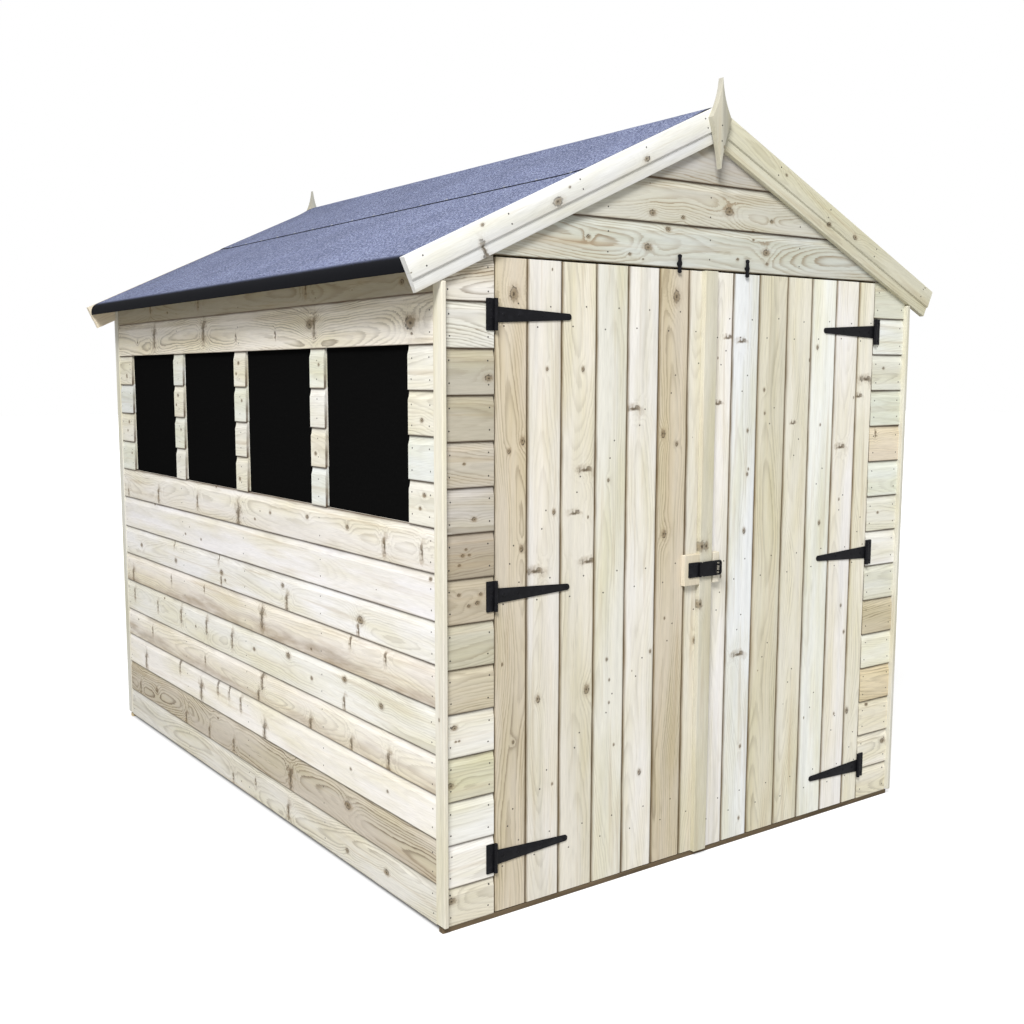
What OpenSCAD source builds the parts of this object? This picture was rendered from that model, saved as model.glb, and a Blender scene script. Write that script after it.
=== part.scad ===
// Wooden garden shed with double doors, four side windows and a felted apex roof.
// Millimetres. X runs along the door front, Y runs from the doors to the back, Z is up.
// The origin is on the ground, under the middle of the floor.

/* [Overall size] */
// Width over the side walls
body_w = 1830; // [1500:10:2400]
// Depth over the front and back walls
body_d = 2440; // [2400:10:3600]
// Height of the roof surface above the ground, in line with the side walls
eaves_h = 1760; // [1700:10:2100]
// Slope of the roof, in degrees
roof_pitch = 24.6; // [18:0.2:32]
// Space between the ground and the lowest edge of the wall boards
ground_gap = 14; // [8:1:30]

/* [Wall boards and trims] */
// Thickness of the wall boards
cladding_t = 12; // [10:1:18]
// Width of a corner trim on the side wall
trim_w = 27; // [20:1:60]
// How far a corner trim reaches past the end wall
trim_reach = 14; // [6:1:18]
// Thickness of a corner trim, as seen from the front
trim_t = 13; // [13:1:25]
// How far the foot of a corner trim is above that of the wall boards
trim_lift = 5; // [0:1:20]
// How far a corner trim stands proud of the side boards
trim_proud = 3; // [1:1:6]

/* [Framing] */
// Width and depth of the framing timber
stud = 38; // [30:1:50]
// Depth of a purlin below the roof boards
purlin_h = 50; // [38:1:75]
// Depth of the ridge beam
ridge_beam_h = 75; // [50:1:110]

/* [Floor] */
// Height of a floor bearer
bearer_h = 44; // [35:1:75]
// Width of a floor bearer
bearer_w = 44; // [35:1:75]
// Number of floor bearers, an odd number
bearer_count = 5; // [5:2:7]
// Thickness of the floor boards
floor_t = 16; // [11:1:22]
// Space between the floor edge and the backs of the door boards
floor_clearance = 5; // [5:1:12]

/* [Roof] */
// Overhang of the roof beyond each side wall
eaves_overhang = 108.5; // [60:0.5:160]
// Thickness of the roof boards
roof_board_t = 11; // [9:1:18]
// Thickness of one layer of felt
felt_t = 3; // [2:0.5:4]
// How far the felt stops short of the barge board ends
felt_setback = 12; // [6:1:20]
// Height of the felt that is turned down over the eaves
felt_drop = 36; // [30:1:50]
// Length of the ridge felt down each slope
ridge_felt_len = 520; // [300:10:700]
// Depth of the batten under the roof edge
eaves_batten_h = 16; // [12:1:20]
// Width of the batten under the roof edge
eaves_batten_w = 38; // [25:1:50]

/* [Barge boards and finials] */
// Width of a barge board, across its grain
barge_w = 89; // [70:1:120]
// Thickness of a barge board at its upper part
barge_t = 20; // [16:1:25]
// Width of the thinner lower step of a barge board
barge_step_w = 30; // [15:1:40]
// How much thinner the lower step is
barge_step = 5; // [2:1:8]
// Height of a finial
finial_h = 246; // [180:1:320]
// Width of a finial
finial_w = 75; // [50:1:100]
// Thickness of a finial
finial_t = 18; // [12:1:22]
// Height of a finial above the peak of the roof
finial_rise = 74; // [40:1:120]
// Height from the tip of a finial down to its widest place
finial_shoulder = 109; // [80:1:140]

/* [Windows] */
// Number of windows in the left wall
window_count = 4; // [1:1:4]
// Width of a window
window_w = 464; // [300:2:464]
// Height of a window
window_h = 456; // [300:2:500]
// Height of a window's lower edge above the wall boards' lower edge
window_sill = 1042; // [800:2:1060]
// Wall between the front corner and the first window
window_start = 151; // [120:1:200]
// Wall between two windows
pier_w = 88; // [70:1:120]
// Thickness of the window glass
glass_t = 4; // [3:0.5:6]
// How far the glass reaches behind the wall boards
glass_lap = 15; // [8:1:18]

/* [Doorway and doors] */
// Width of the wall on each side of the doorway
stub_w = 164; // [140:1:300]
// Height of the doorway above the wall boards' lower edge
door_head = 1719; // [1640:1:1719]
// Gap between a door and the doorway
door_gap = 5; // [5:0.5:8]
// Gap between the two doors
meeting_gap = 6; // [6:0.5:8]
// Gap under a door, above the wall boards' lower edge
door_bottom = 2; // [0:1:10]
// Thickness of the door boards
door_t = 14; // [12:1:20]
// Height of a ledge across the back of a door
ledge_h = 94; // [70:1:120]
// Thickness of ledges and braces
ledge_t = 22; // [16:1:28]
// Distance from a door's hinged edge to its ledges
ledge_inset = 25; // [15:1:40]
// Width of a diagonal brace
brace_w = 90; // [60:1:110]
// Width of the strip that covers the gap between the doors
strip_w = 49; // [35:1:70]
// Thickness of the cover strip
strip_t = 16; // [12:1:20]
// How far the strip's edge lies to the right of the middle
strip_offset = 21; // [10:1:30]

/* [T hinges] */
// Heights of the left door's hinges above the wall boards' lower edge
left_hinge_z = [154, 857, 1572];
// Heights of the right door's hinges above the wall boards' lower edge
right_hinge_z = [117, 843, 1559];
// Length of a hinge strap from its pin
strap_len = 251; // [180:1:300]
// Height of a strap at its pin
strap_h = 40; // [30:1:50]
// Height of a strap near its tip
strap_tip_h = 17; // [12:1:24]
// Height of a hinge plate
plate_h = 80; // [70:1:110]
// Width of a hinge plate from its pin
plate_w = 27; // [20:1:40]
// Thickness of hinge metal
hinge_t = 3; // [2:0.5:4]
// Radius of a hinge knuckle
knuckle_r = 5.5; // [5:0.5:7]
// Radius of a hinge pin
hinge_pin_r = 2.5; // [2:0.1:3]
// Running clearance around pins
pin_clearance = 0.3; // [0.2:0.05:0.5]

/* [Latch] */
// Height of the latch above the wall boards' lower edge
latch_z = 861; // [700:1:1000]
// Height of the packing blocks behind the latch
block_h = 90; // [70:1:120]
// Width of the left packing block
left_block_w = 60; // [45:1:70]
// Width of the right packing block
right_block_w = 24; // [20:1:40]
// Height of the latch metal
latch_h = 44; // [36:1:60]
// Thickness of the latch metal
latch_t = 3; // [2:0.5:4]
// Width of the fixed latch plate
latch_plate_w = 43; // [30:1:50]
// Length of the swinging latch flap from its pin
flap_len = 86; // [70:1:95]
// Radius of the latch knuckle
latch_knuckle_r = 4; // [3.5:0.25:5]
// Thickness of the raised end of the flap
flap_boss_t = 3; // [2:0.5:6]
// Thickness of the staple bar
staple_bar = 5; // [4:0.5:5]
// Height of the staple
staple_h = 24; // [20:1:26]
// Clearance between the staple and the flap's slot
slot_clearance = 5; // [5:0.5:6]

/* [Turn buttons] */
// Distances of the two turn buttons from the middle of the front
button_x = [-122, 149];
// Height of a turn button's pivot above the doorway's head
button_rise = 10; // [8:1:14]
// Length of a turn button
button_len = 52; // [46:1:60]
// Width of a turn button
button_w = 17; // [12:1:22]
// Thickness of a turn button
button_t = 3; // [2:0.5:4]
// Clearance between a turn button and the doors
button_clearance = 5; // [5:0.5:8]
// Radius of a turn button's screw
button_screw_r = 3; // [2.5:0.25:4]

/* [Hidden] */
$fn = 48;

pale_pine = "#e4dcc4";
grey_pine = "#d6d2bd";
frame_pine = "#d9c79f";
felt_blue = "#5c6184";
black_iron = "#17171b";
dark_glass = "#1a1c1e";

slope = tan(roof_pitch);
across = 1 / cos(roof_pitch);
half_w = body_w / 2;
half_d = body_d / 2;
half_span = half_w + eaves_overhang;
wall_z = ground_gap;
floor_top = bearer_h + floor_t;

// Sloping faces that lie on each other are drawn this far apart
layer_gap = 0.05;
// Depths below the roof's top surface, square to the slope
lower_felt_d = felt_t + layer_gap;
boards_d = lower_felt_d + felt_t + layer_gap;
under_boards_d = boards_d + roof_board_t;
under_roof_d = under_boards_d + layer_gap;

side_face = half_w - trim_proud;
side_back = side_face - cladding_t;
end_back = half_d - cladding_t;
frame_in_x = side_back - stud;
frame_in_y = end_back - stud;
plate_top = roof_z(side_back, under_roof_d);

// Space left between hinge parts that turn past each other
knuckle_gap = 0.5;
// Space between a corner trim and the barge board above it
trim_gap = 1;
// Distance from a hinge pin to the boards its plates are screwed to
knuckle_back = knuckle_r + knuckle_gap;
// Cutting shapes reach this far past the faces they cut
past = 1;

door_half = half_w - stub_w;
head_z = wall_z + door_head;
leaf_bottom = wall_z + door_bottom;
leaf_top = head_z - door_gap;
leaf_edge = door_half - door_gap;
pin_x = door_half - door_gap / 2;
front_y = -half_d;
pin_y = front_y - knuckle_back;
leaf_back_y = front_y + door_t;
left_leaf_end = strip_offset;
right_leaf_start = strip_offset + meeting_gap;
strip_front_y = front_y - strip_t;

latch_pin_r = 1.8;
// How far the latch pin lies to the left of the cover strip
latch_pin_inset = 3;
latch_pin_x = left_leaf_end - strip_w - latch_pin_inset;
latch_pin_y = strip_front_y - latch_t - latch_knuckle_r + knuckle_gap;
latch_mid_z = wall_z + latch_z;
// The staple stands out from the door front as far as a finial does from the wall front
staple_reach = finial_t + barge_t;
staple_x = right_leaf_start + right_block_w / 2;

sill_z = wall_z + window_sill;
window_top = sill_z + window_h;
window_pitch = window_w + pier_w;
glass_back = side_back - glass_t;
// The wall rails stay this far above and below a window, clear of the glass
rail_gap = glass_lap + 5;

// Height of a plane that lies d below the roof's top surface
function roof_z(x, d) = eaves_h + (half_w - abs(x)) * slope - d * across;

function window_y(i) = -half_d + window_start + i * window_pitch;

// A block given by its low and high limits along X, Y and Z
module block(x, y, z) {
    translate([x[0], y[0], z[0]]) cube([x[1] - x[0], y[1] - y[0], z[1] - z[0]]);
}

// An outline in X and Z, carried along Y
module along_y(y, outline) {
    translate([0, y[1], 0]) rotate([90, 0, 0]) linear_extrude(y[1] - y[0]) polygon(outline);
}

// A slab that follows the slope on one side of the roof
module roof_slab(side, x, d, y) {
    along_y(y, [for (p = [[x[0], d[1]], [x[1], d[1]], [x[1], d[0]], [x[0], d[0]]])
        [side * p[0], roof_z(p[0], p[1])]]);
}

// Floor

floor_x = side_back - floor_clearance;
floor_y = half_d - max(door_t, cladding_t) - floor_clearance;

module floor_bearers() {
    pitch = (2 * floor_y - bearer_w) / (bearer_count - 1);
    color(frame_pine) for (i = [0 : bearer_count - 1]) {
        y = -floor_y + i * pitch;
        block([-floor_x, floor_x], [y, y + bearer_w], [0, bearer_h]);
    }
    // A sole board under each end wall, level with its face
    color(frame_pine) for (end = [0, 1]) mirror([0, end, 0])
        block([-side_face, side_face], [-half_d, -floor_y], [0, wall_z]);
}

module floor_boards() {
    color(frame_pine)
        block([-floor_x, floor_x], [-floor_y, floor_y], [bearer_h, floor_top]);
}

// Walls

module front_stub(side) {
    color(pale_pine) block(
        side < 0 ? [-half_w + trim_t, -door_half] : [door_half, half_w - trim_t],
        [-half_d, -end_back], [wall_z, head_z]);
}

// Outline of an end wall above a given height, between the corner trims
function gable_outline(z0) = [
    [-half_w + trim_t, z0], [half_w - trim_t, z0],
    [half_w - trim_t, roof_z(half_w - trim_t, under_roof_d)],
    [0, roof_z(0, under_roof_d)],
    [-half_w + trim_t, roof_z(half_w - trim_t, under_roof_d)]
];

module front_gable() {
    color(grey_pine) along_y([-half_d, -end_back], gable_outline(head_z));
}

module back_wall() {
    color(pale_pine) along_y([end_back, half_d], gable_outline(wall_z));
}

module side_boards(side, y, z) {
    color(pale_pine) block(side < 0 ? [-side_face, -side_back] : [side_back, side_face], y, z);
}

module left_wall_lower() {
    side_boards(-1, [-half_d + trim_w, half_d - trim_w], [wall_z, sill_z]);
}

module left_wall_upper() {
    side_boards(-1, [-half_d + trim_w, half_d - trim_w],
        [window_top, roof_z(side_face, under_roof_d)]);
}

module left_window_piers() {
    for (i = [0 : window_count]) {
        start = i == 0 ? -half_d + trim_w : window_y(i) - pier_w;
        end = i == window_count ? half_d - trim_w : window_y(i);
        side_boards(-1, [start, end], [sill_z, window_top]);
    }
}

module right_wall() {
    side_boards(1, [-half_d + trim_w, half_d - trim_w],
        [wall_z, roof_z(side_face, under_roof_d)]);
}

module window_glass() {
    color(dark_glass) for (i = [0 : window_count - 1])
        block([-side_back, -glass_back],
            [window_y(i) - glass_lap, window_y(i) + window_w + glass_lap],
            [sill_z - glass_lap, window_top + glass_lap]);
}

// A flat strip at each corner, over the ends of both walls' boards and cut away under the barge board
module corner_trims() {
    foot = wall_z + trim_lift;
    color(pale_pine) for (side = [0, 1], end = [0, 1]) mirror([side, 0, 0]) mirror([0, end, 0]) {
        block([-half_w, -half_w + trim_t], [-half_d, -half_d + trim_w],
            [foot, roof_z(half_w, under_roof_d)]);
        block([-half_w, -half_w + trim_t], [-half_d - trim_reach, -half_d],
            [foot, roof_z(half_w, barge_w) - trim_gap]);
    }
}

// Framing

// Middles of the studs in the left wall: the corners and behind each pier
left_stud_y = concat([-end_back + stud / 2],
    [for (i = [1 : 1 : window_count - 1]) window_y(i) - pier_w / 2], [end_back - stud / 2]);
right_stud_y = [for (i = [0 : 3]) (-end_back + stud / 2) * (1 - 2 * i / 3)];

module side_wall_studs() {
    color(frame_pine) {
        for (y = left_stud_y)
            block([-side_back, -frame_in_x], [y - stud / 2, y + stud / 2],
                [floor_top + stud, plate_top - stud]);
        for (y = right_stud_y)
            block([frame_in_x, side_back], [y - stud / 2, y + stud / 2],
                [floor_top + stud, plate_top - stud]);
    }
}

// Short rails between neighbouring studs
module rails_between(x, studs, z) {
    for (i = [0 : len(studs) - 2])
        block(x, [studs[i] + stud / 2, studs[i + 1] - stud / 2], [z, z + stud]);
}

module side_wall_rails() {
    left = [-side_back, -frame_in_x];
    right = [frame_in_x, side_back];
    color(frame_pine) {
        for (x = [left, right], z = [floor_top, plate_top - stud])
            block(x, [-end_back, end_back], [z, z + stud]);
        rails_between(left, left_stud_y, sill_z - rail_gap - stud);
        rails_between(left, left_stud_y, window_top + rail_gap);
        rails_between(right, right_stud_y, sill_z - rail_gap - stud);
    }
}

tie_top = roof_z(frame_in_x, under_roof_d) - stud * across;

module end_wall_rails() {
    color(frame_pine) {
        block([-door_half, door_half], [-end_back, -frame_in_y], [head_z, head_z + stud]);
        for (z = [floor_top, tie_top - stud])
            block([-frame_in_x, frame_in_x], [frame_in_y, end_back], [z, z + stud]);
    }
}

module end_wall_studs() {
    jamb_out = door_half + stud;
    under_rafter = (under_roof_d + stud);
    beam_bottom = roof_z(stud / 2, under_roof_d) - ridge_beam_h;
    color(frame_pine) {
        for (side = [-1, 1]) {
            block(side < 0 ? [-jamb_out, -door_half] : [door_half, jamb_out],
                [-end_back, -frame_in_y], [floor_top, roof_z(jamb_out, under_rafter)]);
            block(side < 0 ? [-frame_in_x, stud - frame_in_x] : [frame_in_x - stud, frame_in_x],
                [-end_back, -frame_in_y], [floor_top, roof_z(frame_in_x, under_rafter)]);
        }
        for (x = [-1, -1 / 3, 1 / 3, 1] * (frame_in_x - stud / 2))
            block([x - stud / 2, x + stud / 2], [frame_in_y, end_back],
                [floor_top + stud, tie_top - stud]);
        block([-stud / 2, stud / 2], [-end_back, -frame_in_y], [head_z + stud, beam_bottom]);
        block([-stud / 2, stud / 2], [frame_in_y, end_back], [tie_top, beam_bottom]);
    }
}

module gable_rafters() {
    color(frame_pine) for (side = [-1, 1], y = [[-end_back, -frame_in_y], [frame_in_y, end_back]])
        roof_slab(side, [stud / 2, frame_in_x], [under_roof_d, under_roof_d + stud], y);
}

module roof_purlins() {
    beam_top = roof_z(stud / 2, under_roof_d);
    mid = half_w / 2;
    color(frame_pine) {
        block([-stud / 2, stud / 2], [-end_back, end_back], [beam_top - ridge_beam_h, beam_top]);
        for (side = [-1, 1])
            roof_slab(side, [mid - stud / 2, mid + stud / 2],
                [under_roof_d, under_roof_d + purlin_h], [-frame_in_y, frame_in_y]);
    }
}

// Roof

felt_edge = half_span - felt_setback;
board_edge = felt_edge - felt_t;

module roof_boards(side) {
    color(frame_pine)
        roof_slab(side, [0, board_edge], [boards_d, under_boards_d], [-half_d, half_d]);
}

module eaves_battens() {
    color(frame_pine) for (side = [-1, 1])
        roof_slab(side, [board_edge - eaves_batten_w, board_edge],
            [under_roof_d, under_roof_d + eaves_batten_h], [-half_d, half_d]);
}

module roof_felt(side) {
    drop_z = roof_z(felt_edge, lower_felt_d) - felt_drop;
    under_d = lower_felt_d + felt_t;
    color(felt_blue) along_y([-half_d, half_d], [for (p = [
        [0, roof_z(0, lower_felt_d)], [felt_edge, roof_z(felt_edge, lower_felt_d)],
        [felt_edge, drop_z], [board_edge, drop_z],
        [board_edge, roof_z(board_edge, under_d)], [0, roof_z(0, under_d)]])
        [side * p[0], p[1]]]);
}

module ridge_felt() {
    edge = ridge_felt_len * cos(roof_pitch);
    color(felt_blue) along_y([-half_d, half_d], [
        [-edge, roof_z(edge, felt_t)], [0, roof_z(0, felt_t)],
        [edge, roof_z(edge, felt_t)], [edge, roof_z(edge, 0)],
        [0, roof_z(0, 0)], [-edge, roof_z(edge, 0)]
    ]);
}

// Outline of a barge board between two depths, with its foot cut square to the slope
function barge_outline(side, d0, d1) = [for (p = [
    [0, roof_z(0, d0)],
    [half_span - d0 * sin(roof_pitch), roof_z(half_span - d0 * sin(roof_pitch), d0)],
    [half_span - d1 * sin(roof_pitch), roof_z(half_span - d1 * sin(roof_pitch), d1)],
    [0, roof_z(0, d1)]]) [side * p[0], p[1]]];

module barge_boards(side) {
    thin = barge_t - barge_step;
    upper = barge_w - barge_step_w;
    color(pale_pine) for (end = [-1, 1]) {
        thick_y = end < 0 ? [-half_d - barge_t, -half_d] : [half_d, half_d + barge_t];
        thin_y = end < 0 ? [-half_d - thin, -half_d] : [half_d, half_d + thin];
        along_y(thick_y, barge_outline(side, 0, upper));
        along_y(thin_y, barge_outline(side, upper, barge_w));
    }
}

module finials() {
    tip = roof_z(0, 0) + finial_rise;
    face = half_d + barge_t;
    color(pale_pine) for (y = [[-face - finial_t, -face], [face, face + finial_t]])
        along_y(y, [[0, tip], [-finial_w / 2, tip - finial_shoulder],
            [0, tip - finial_h], [finial_w / 2, tip - finial_shoulder]]);
}

// Doors

// A leaf is given by the limits of its boards along X
module leaf_boards(x) {
    color(pale_pine) block(x, [front_y, leaf_back_y], [leaf_bottom, leaf_top]);
}

module leaf_ledges(x, hinge_z) {
    color(frame_pine) for (z = hinge_z)
        block(x, [leaf_back_y, leaf_back_y + ledge_t],
            [wall_z + z - ledge_h / 2, wall_z + z + ledge_h / 2]);
}

// Diagonals that rise from the hinged side to the free side, between the ledges
module leaf_braces(x_hinged, x_free, hinge_z) {
    lean = sign(x_free - x_hinged) * brace_w;
    color(frame_pine) for (i = [0 : len(hinge_z) - 2]) {
        low = wall_z + hinge_z[i] + ledge_h / 2;
        high = wall_z + hinge_z[i + 1] - ledge_h / 2;
        along_y([leaf_back_y, leaf_back_y + ledge_t], [
            [x_hinged, low], [x_hinged + lean, low], [x_free, high], [x_free - lean, high]
        ]);
    }
}

left_ledge_x = [-leaf_edge + ledge_inset, left_leaf_end - ledge_inset];
right_ledge_x = [right_leaf_start + ledge_inset, leaf_edge - ledge_inset];

// Everything of a strap hinge that swings: the strap, and its knuckle around the pin
module strap(side, z) {
    reach = strap_len - strap_tip_h / 2;
    translate([side * pin_x, pin_y, wall_z + z]) difference() {
        union() {
            cylinder(h = strap_h, r = knuckle_r, center = true);
            translate([0, knuckle_back, 0]) rotate([90, 0, 0]) linear_extrude(hinge_t) {
                polygon([[0, -strap_h / 2], [-side * reach, -strap_tip_h / 2],
                    [-side * reach, strap_tip_h / 2], [0, strap_h / 2]]);
                translate([-side * reach, 0]) circle(strap_tip_h / 2);
            }
        }
        cylinder(h = strap_h + 2 * past, r = hinge_pin_r + pin_clearance, center = true);
    }
}

module door_straps(side, hinge_z) {
    color(black_iron) for (z = hinge_z) strap(side, z);
}

// The fixed half of a strap hinge: the plate, two knuckles and the pin
module hinge_plate(side, z) {
    knuckle_h = (plate_h - strap_h) / 2 - knuckle_gap;
    translate([side * pin_x, pin_y, wall_z + z]) {
        cylinder(h = plate_h, r = hinge_pin_r, center = true);
        for (end = [-1, 1])
            translate([0, 0, end * (plate_h - knuckle_h) / 2])
                cylinder(h = knuckle_h, r = knuckle_r, center = true);
        difference() {
            block(side < 0 ? [-plate_w, 0] : [0, plate_w],
                [knuckle_back - hinge_t, knuckle_back], [-plate_h / 2, plate_h / 2]);
            cylinder(h = strap_h + 2 * knuckle_gap, r = knuckle_r + 2 * knuckle_gap,
                center = true);
        }
    }
}

module hinge_plates() {
    color(black_iron) {
        for (z = left_hinge_z) hinge_plate(-1, z);
        for (z = right_hinge_z) hinge_plate(1, z);
    }
}

module door_cover_strip() {
    color(pale_pine) block([left_leaf_end - strip_w, left_leaf_end],
        [strip_front_y, front_y], [leaf_bottom, leaf_top]);
}

// Latch

module latch_block(x) {
    color(pale_pine) block(x, [strip_front_y, front_y],
        [latch_mid_z - block_h / 2, latch_mid_z + block_h / 2]);
}

module latch_plate() {
    low = latch_mid_z - latch_h / 2;
    end_knuckle = latch_h / 4;
    color(black_iron) {
        difference() {
            block([latch_pin_x - latch_plate_w, latch_pin_x],
                [strip_front_y - latch_t, strip_front_y], [low, low + latch_h]);
            translate([latch_pin_x, latch_pin_y, latch_mid_z])
                cylinder(h = latch_h / 2 + 2 * knuckle_gap, r = latch_knuckle_r + knuckle_gap,
                    center = true);
        }
        translate([latch_pin_x, latch_pin_y, low]) {
            cylinder(h = latch_h, r = latch_pin_r);
            for (z = [0, latch_h - end_knuckle])
                translate([0, 0, z]) cylinder(h = end_knuckle, r = latch_knuckle_r);
        }
    }
}

// Outline of the flap in X and Z, with a rounded free end
module flap_outline(start) {
    round_r = latch_h * 0.3;
    hull() {
        translate([start, -latch_h / 2]) square([past, latch_h]);
        for (z = [-1, 1])
            translate([flap_len - round_r, z * (latch_h / 2 - round_r)]) circle(round_r);
    }
}

module latch_flap() {
    slot_w = staple_bar + 2 * slot_clearance;
    slot_h = staple_h + 2 * slot_clearance;
    middle = latch_h / 2 - 2 * knuckle_gap;
    start = latch_knuckle_r + knuckle_gap;
    boss_margin = 6;
    boss_start = staple_x - latch_pin_x - slot_w / 2 - boss_margin;
    color(black_iron) translate([latch_pin_x, latch_pin_y, latch_mid_z]) difference() {
        union() {
            cylinder(h = middle, r = latch_knuckle_r, center = true);
            block([0, start + past], [-latch_t / 2, latch_t / 2], [-middle / 2, middle / 2]);
            translate([0, latch_t / 2, 0]) rotate([90, 0, 0]) linear_extrude(latch_t)
                flap_outline(start);
            translate([0, latch_t / 2, 0]) rotate([90, 0, 0])
                linear_extrude(latch_t + flap_boss_t) flap_outline(boss_start);
        }
        cylinder(h = latch_h, r = latch_pin_r + pin_clearance, center = true);
        translate([staple_x - latch_pin_x, 0, 0])
            cube([slot_w, 4 * latch_h, slot_h], center = true);
    }
}

module latch_staple() {
    reach = staple_reach - strip_t;
    color(black_iron) translate([staple_x, strip_front_y, latch_mid_z]) difference() {
        block([-staple_bar / 2, staple_bar / 2], [-reach, 0], [-staple_h / 2, staple_h / 2]);
        block([-staple_bar, staple_bar], [staple_bar - reach, past],
            [staple_bar - staple_h / 2, staple_h / 2 - staple_bar]);
    }
}

// Turn buttons

button_z = head_z + button_rise;
button_back_y = front_y - button_clearance;
button_head_y = button_back_y - button_t;

module turn_button_screws() {
    head_t = 2;
    collar_r = button_screw_r * 2;
    color(black_iron) for (x = button_x) translate([x, front_y, button_z]) rotate([90, 0, 0]) {
        cylinder(h = button_clearance + button_t + head_t + 2 * pin_clearance,
            r = button_screw_r);
        cylinder(h = button_clearance - pin_clearance, r = collar_r);
        translate([0, 0, button_clearance + button_t + pin_clearance])
            cylinder(h = head_t, r = collar_r);
    }
}

module turn_button(x) {
    reach = (button_len - button_w) / 2;
    color(black_iron) translate([x, button_back_y, button_z]) rotate([90, 0, 0])
        linear_extrude(button_t) difference() {
            union() {
                square([button_w, 2 * reach], center = true);
                for (z = [-reach, reach]) translate([0, z]) circle(button_w / 2);
            }
            circle(button_screw_r + pin_clearance);
        }
}

floor_bearers();
floor_boards();
front_stub(-1);  // front_stub_left
front_stub(1);  // front_stub_right
front_gable();
back_wall();
left_wall_lower();
left_wall_upper();
left_window_piers();
right_wall();
window_glass();
side_wall_rails();
side_wall_studs();
end_wall_rails();
end_wall_studs();
gable_rafters();
roof_purlins();
roof_boards(-1);  // roof_boards_left
roof_boards(1);  // roof_boards_right
eaves_battens();
roof_felt(-1);  // roof_felt_left
roof_felt(1);  // roof_felt_right
ridge_felt();
barge_boards(-1);  // barge_boards_left
barge_boards(1);  // barge_boards_right
finials();
corner_trims();
hinge_plates();
turn_button_screws();
turn_button(button_x[0]);  // turn_button_left
turn_button(button_x[1]);  // turn_button_right
leaf_boards([-leaf_edge, left_leaf_end]);  // left_door_boards
leaf_ledges(left_ledge_x, left_hinge_z);  // left_door_ledges
leaf_braces(left_ledge_x[0], left_ledge_x[1], left_hinge_z);  // left_door_braces
door_straps(-1, left_hinge_z);  // left_door_straps
door_cover_strip();
latch_block([left_leaf_end - strip_w - left_block_w, left_leaf_end - strip_w]);  // left_latch_block
latch_plate();
latch_flap();
leaf_boards([right_leaf_start, leaf_edge]);  // right_door_boards
leaf_ledges(right_ledge_x, right_hinge_z);  // right_door_ledges
leaf_braces(right_ledge_x[1], right_ledge_x[0], right_hinge_z);  // right_door_braces
door_straps(1, right_hinge_z);  // right_door_straps
latch_block([right_leaf_start, right_leaf_start + right_block_w]);  // right_latch_block
latch_staple();
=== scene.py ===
"""Looks of a wooden garden shed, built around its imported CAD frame.

The shed has shiplap walls, double ledged doors on strap hinges, four side windows and a felted apex roof.
All lengths are in metres. X runs along the door front, Y from the doors to the back, Z up.
"""

from __future__ import annotations

import logging
import math
from dataclasses import dataclass, field
from enum import Enum
from typing import Any, Iterable, Mapping, Sequence

import bmesh
import bpy
import numpy as np
from numpy.typing import NDArray
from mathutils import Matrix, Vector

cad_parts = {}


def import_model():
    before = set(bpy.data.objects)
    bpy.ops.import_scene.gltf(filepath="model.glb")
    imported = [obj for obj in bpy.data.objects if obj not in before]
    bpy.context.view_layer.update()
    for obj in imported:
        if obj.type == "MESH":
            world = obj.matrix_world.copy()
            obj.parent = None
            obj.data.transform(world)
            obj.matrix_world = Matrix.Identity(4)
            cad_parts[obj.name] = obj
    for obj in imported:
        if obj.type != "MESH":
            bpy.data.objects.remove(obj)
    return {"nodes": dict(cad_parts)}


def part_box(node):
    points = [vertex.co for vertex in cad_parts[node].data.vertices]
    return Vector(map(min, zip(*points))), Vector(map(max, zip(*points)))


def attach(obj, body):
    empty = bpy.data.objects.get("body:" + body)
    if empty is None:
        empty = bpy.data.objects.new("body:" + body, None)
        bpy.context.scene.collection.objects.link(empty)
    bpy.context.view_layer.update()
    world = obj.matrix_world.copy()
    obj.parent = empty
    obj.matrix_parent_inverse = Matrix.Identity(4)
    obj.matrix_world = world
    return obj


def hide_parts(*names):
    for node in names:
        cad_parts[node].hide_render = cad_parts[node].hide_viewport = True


Array = NDArray[np.float64]
Faces = list[list[int]]
Values = Mapping[str, Array]
LOG = logging.getLogger("garden_shed")

MM = 0.001
ROOF_PITCH = math.radians(24.6)
PITCH_COS, PITCH_SIN, PITCH_TAN = math.cos(ROOF_PITCH), math.sin(ROOF_PITCH), math.tan(ROOF_PITCH)
# The faces of the front and back walls lie this far from the middle
HALF_DEPTH = 1220 * MM
# A turned profile starts just off its axis, so that its ends close
OFF_AXIS = 0.02 * MM
SEED = 74
KNOT_KEYS = ("knot_a", "knot_b", "knot_c")
# Colours of the boards in the pile, from cream to brown and green
PILE = ("#E6E1D2", "#E0D9C6", "#E3D8C0", "#D8CDB5", "#DCDCCA", "#D3C7AD", "#E4E2D6")


# --- Arrays, meshes and node graphs -------------------------------------------------------------


def vector(*values: float) -> Array:
    """Returns the values as an array of floats."""
    return np.array(values, dtype=float)


def linear(hex_code: str) -> tuple[float, float, float, float]:
    """Turns an sRGB hex colour to linear RGBA.

    Args:
        hex_code: Six hex digits, with or without a leading hash.

    Returns:
        Linear red, green and blue, and an alpha of 1.
    """
    digits = hex_code.lstrip("#")
    srgb = np.array([int(digits[i : i + 2], 16) for i in (0, 2, 4)]) / 255.0
    rgb = np.where(srgb <= 0.04045, srgb / 12.92, ((srgb + 0.055) / 1.055) ** 2.4)
    return (float(rgb[0]), float(rgb[1]), float(rgb[2]), 1.0)


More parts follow.
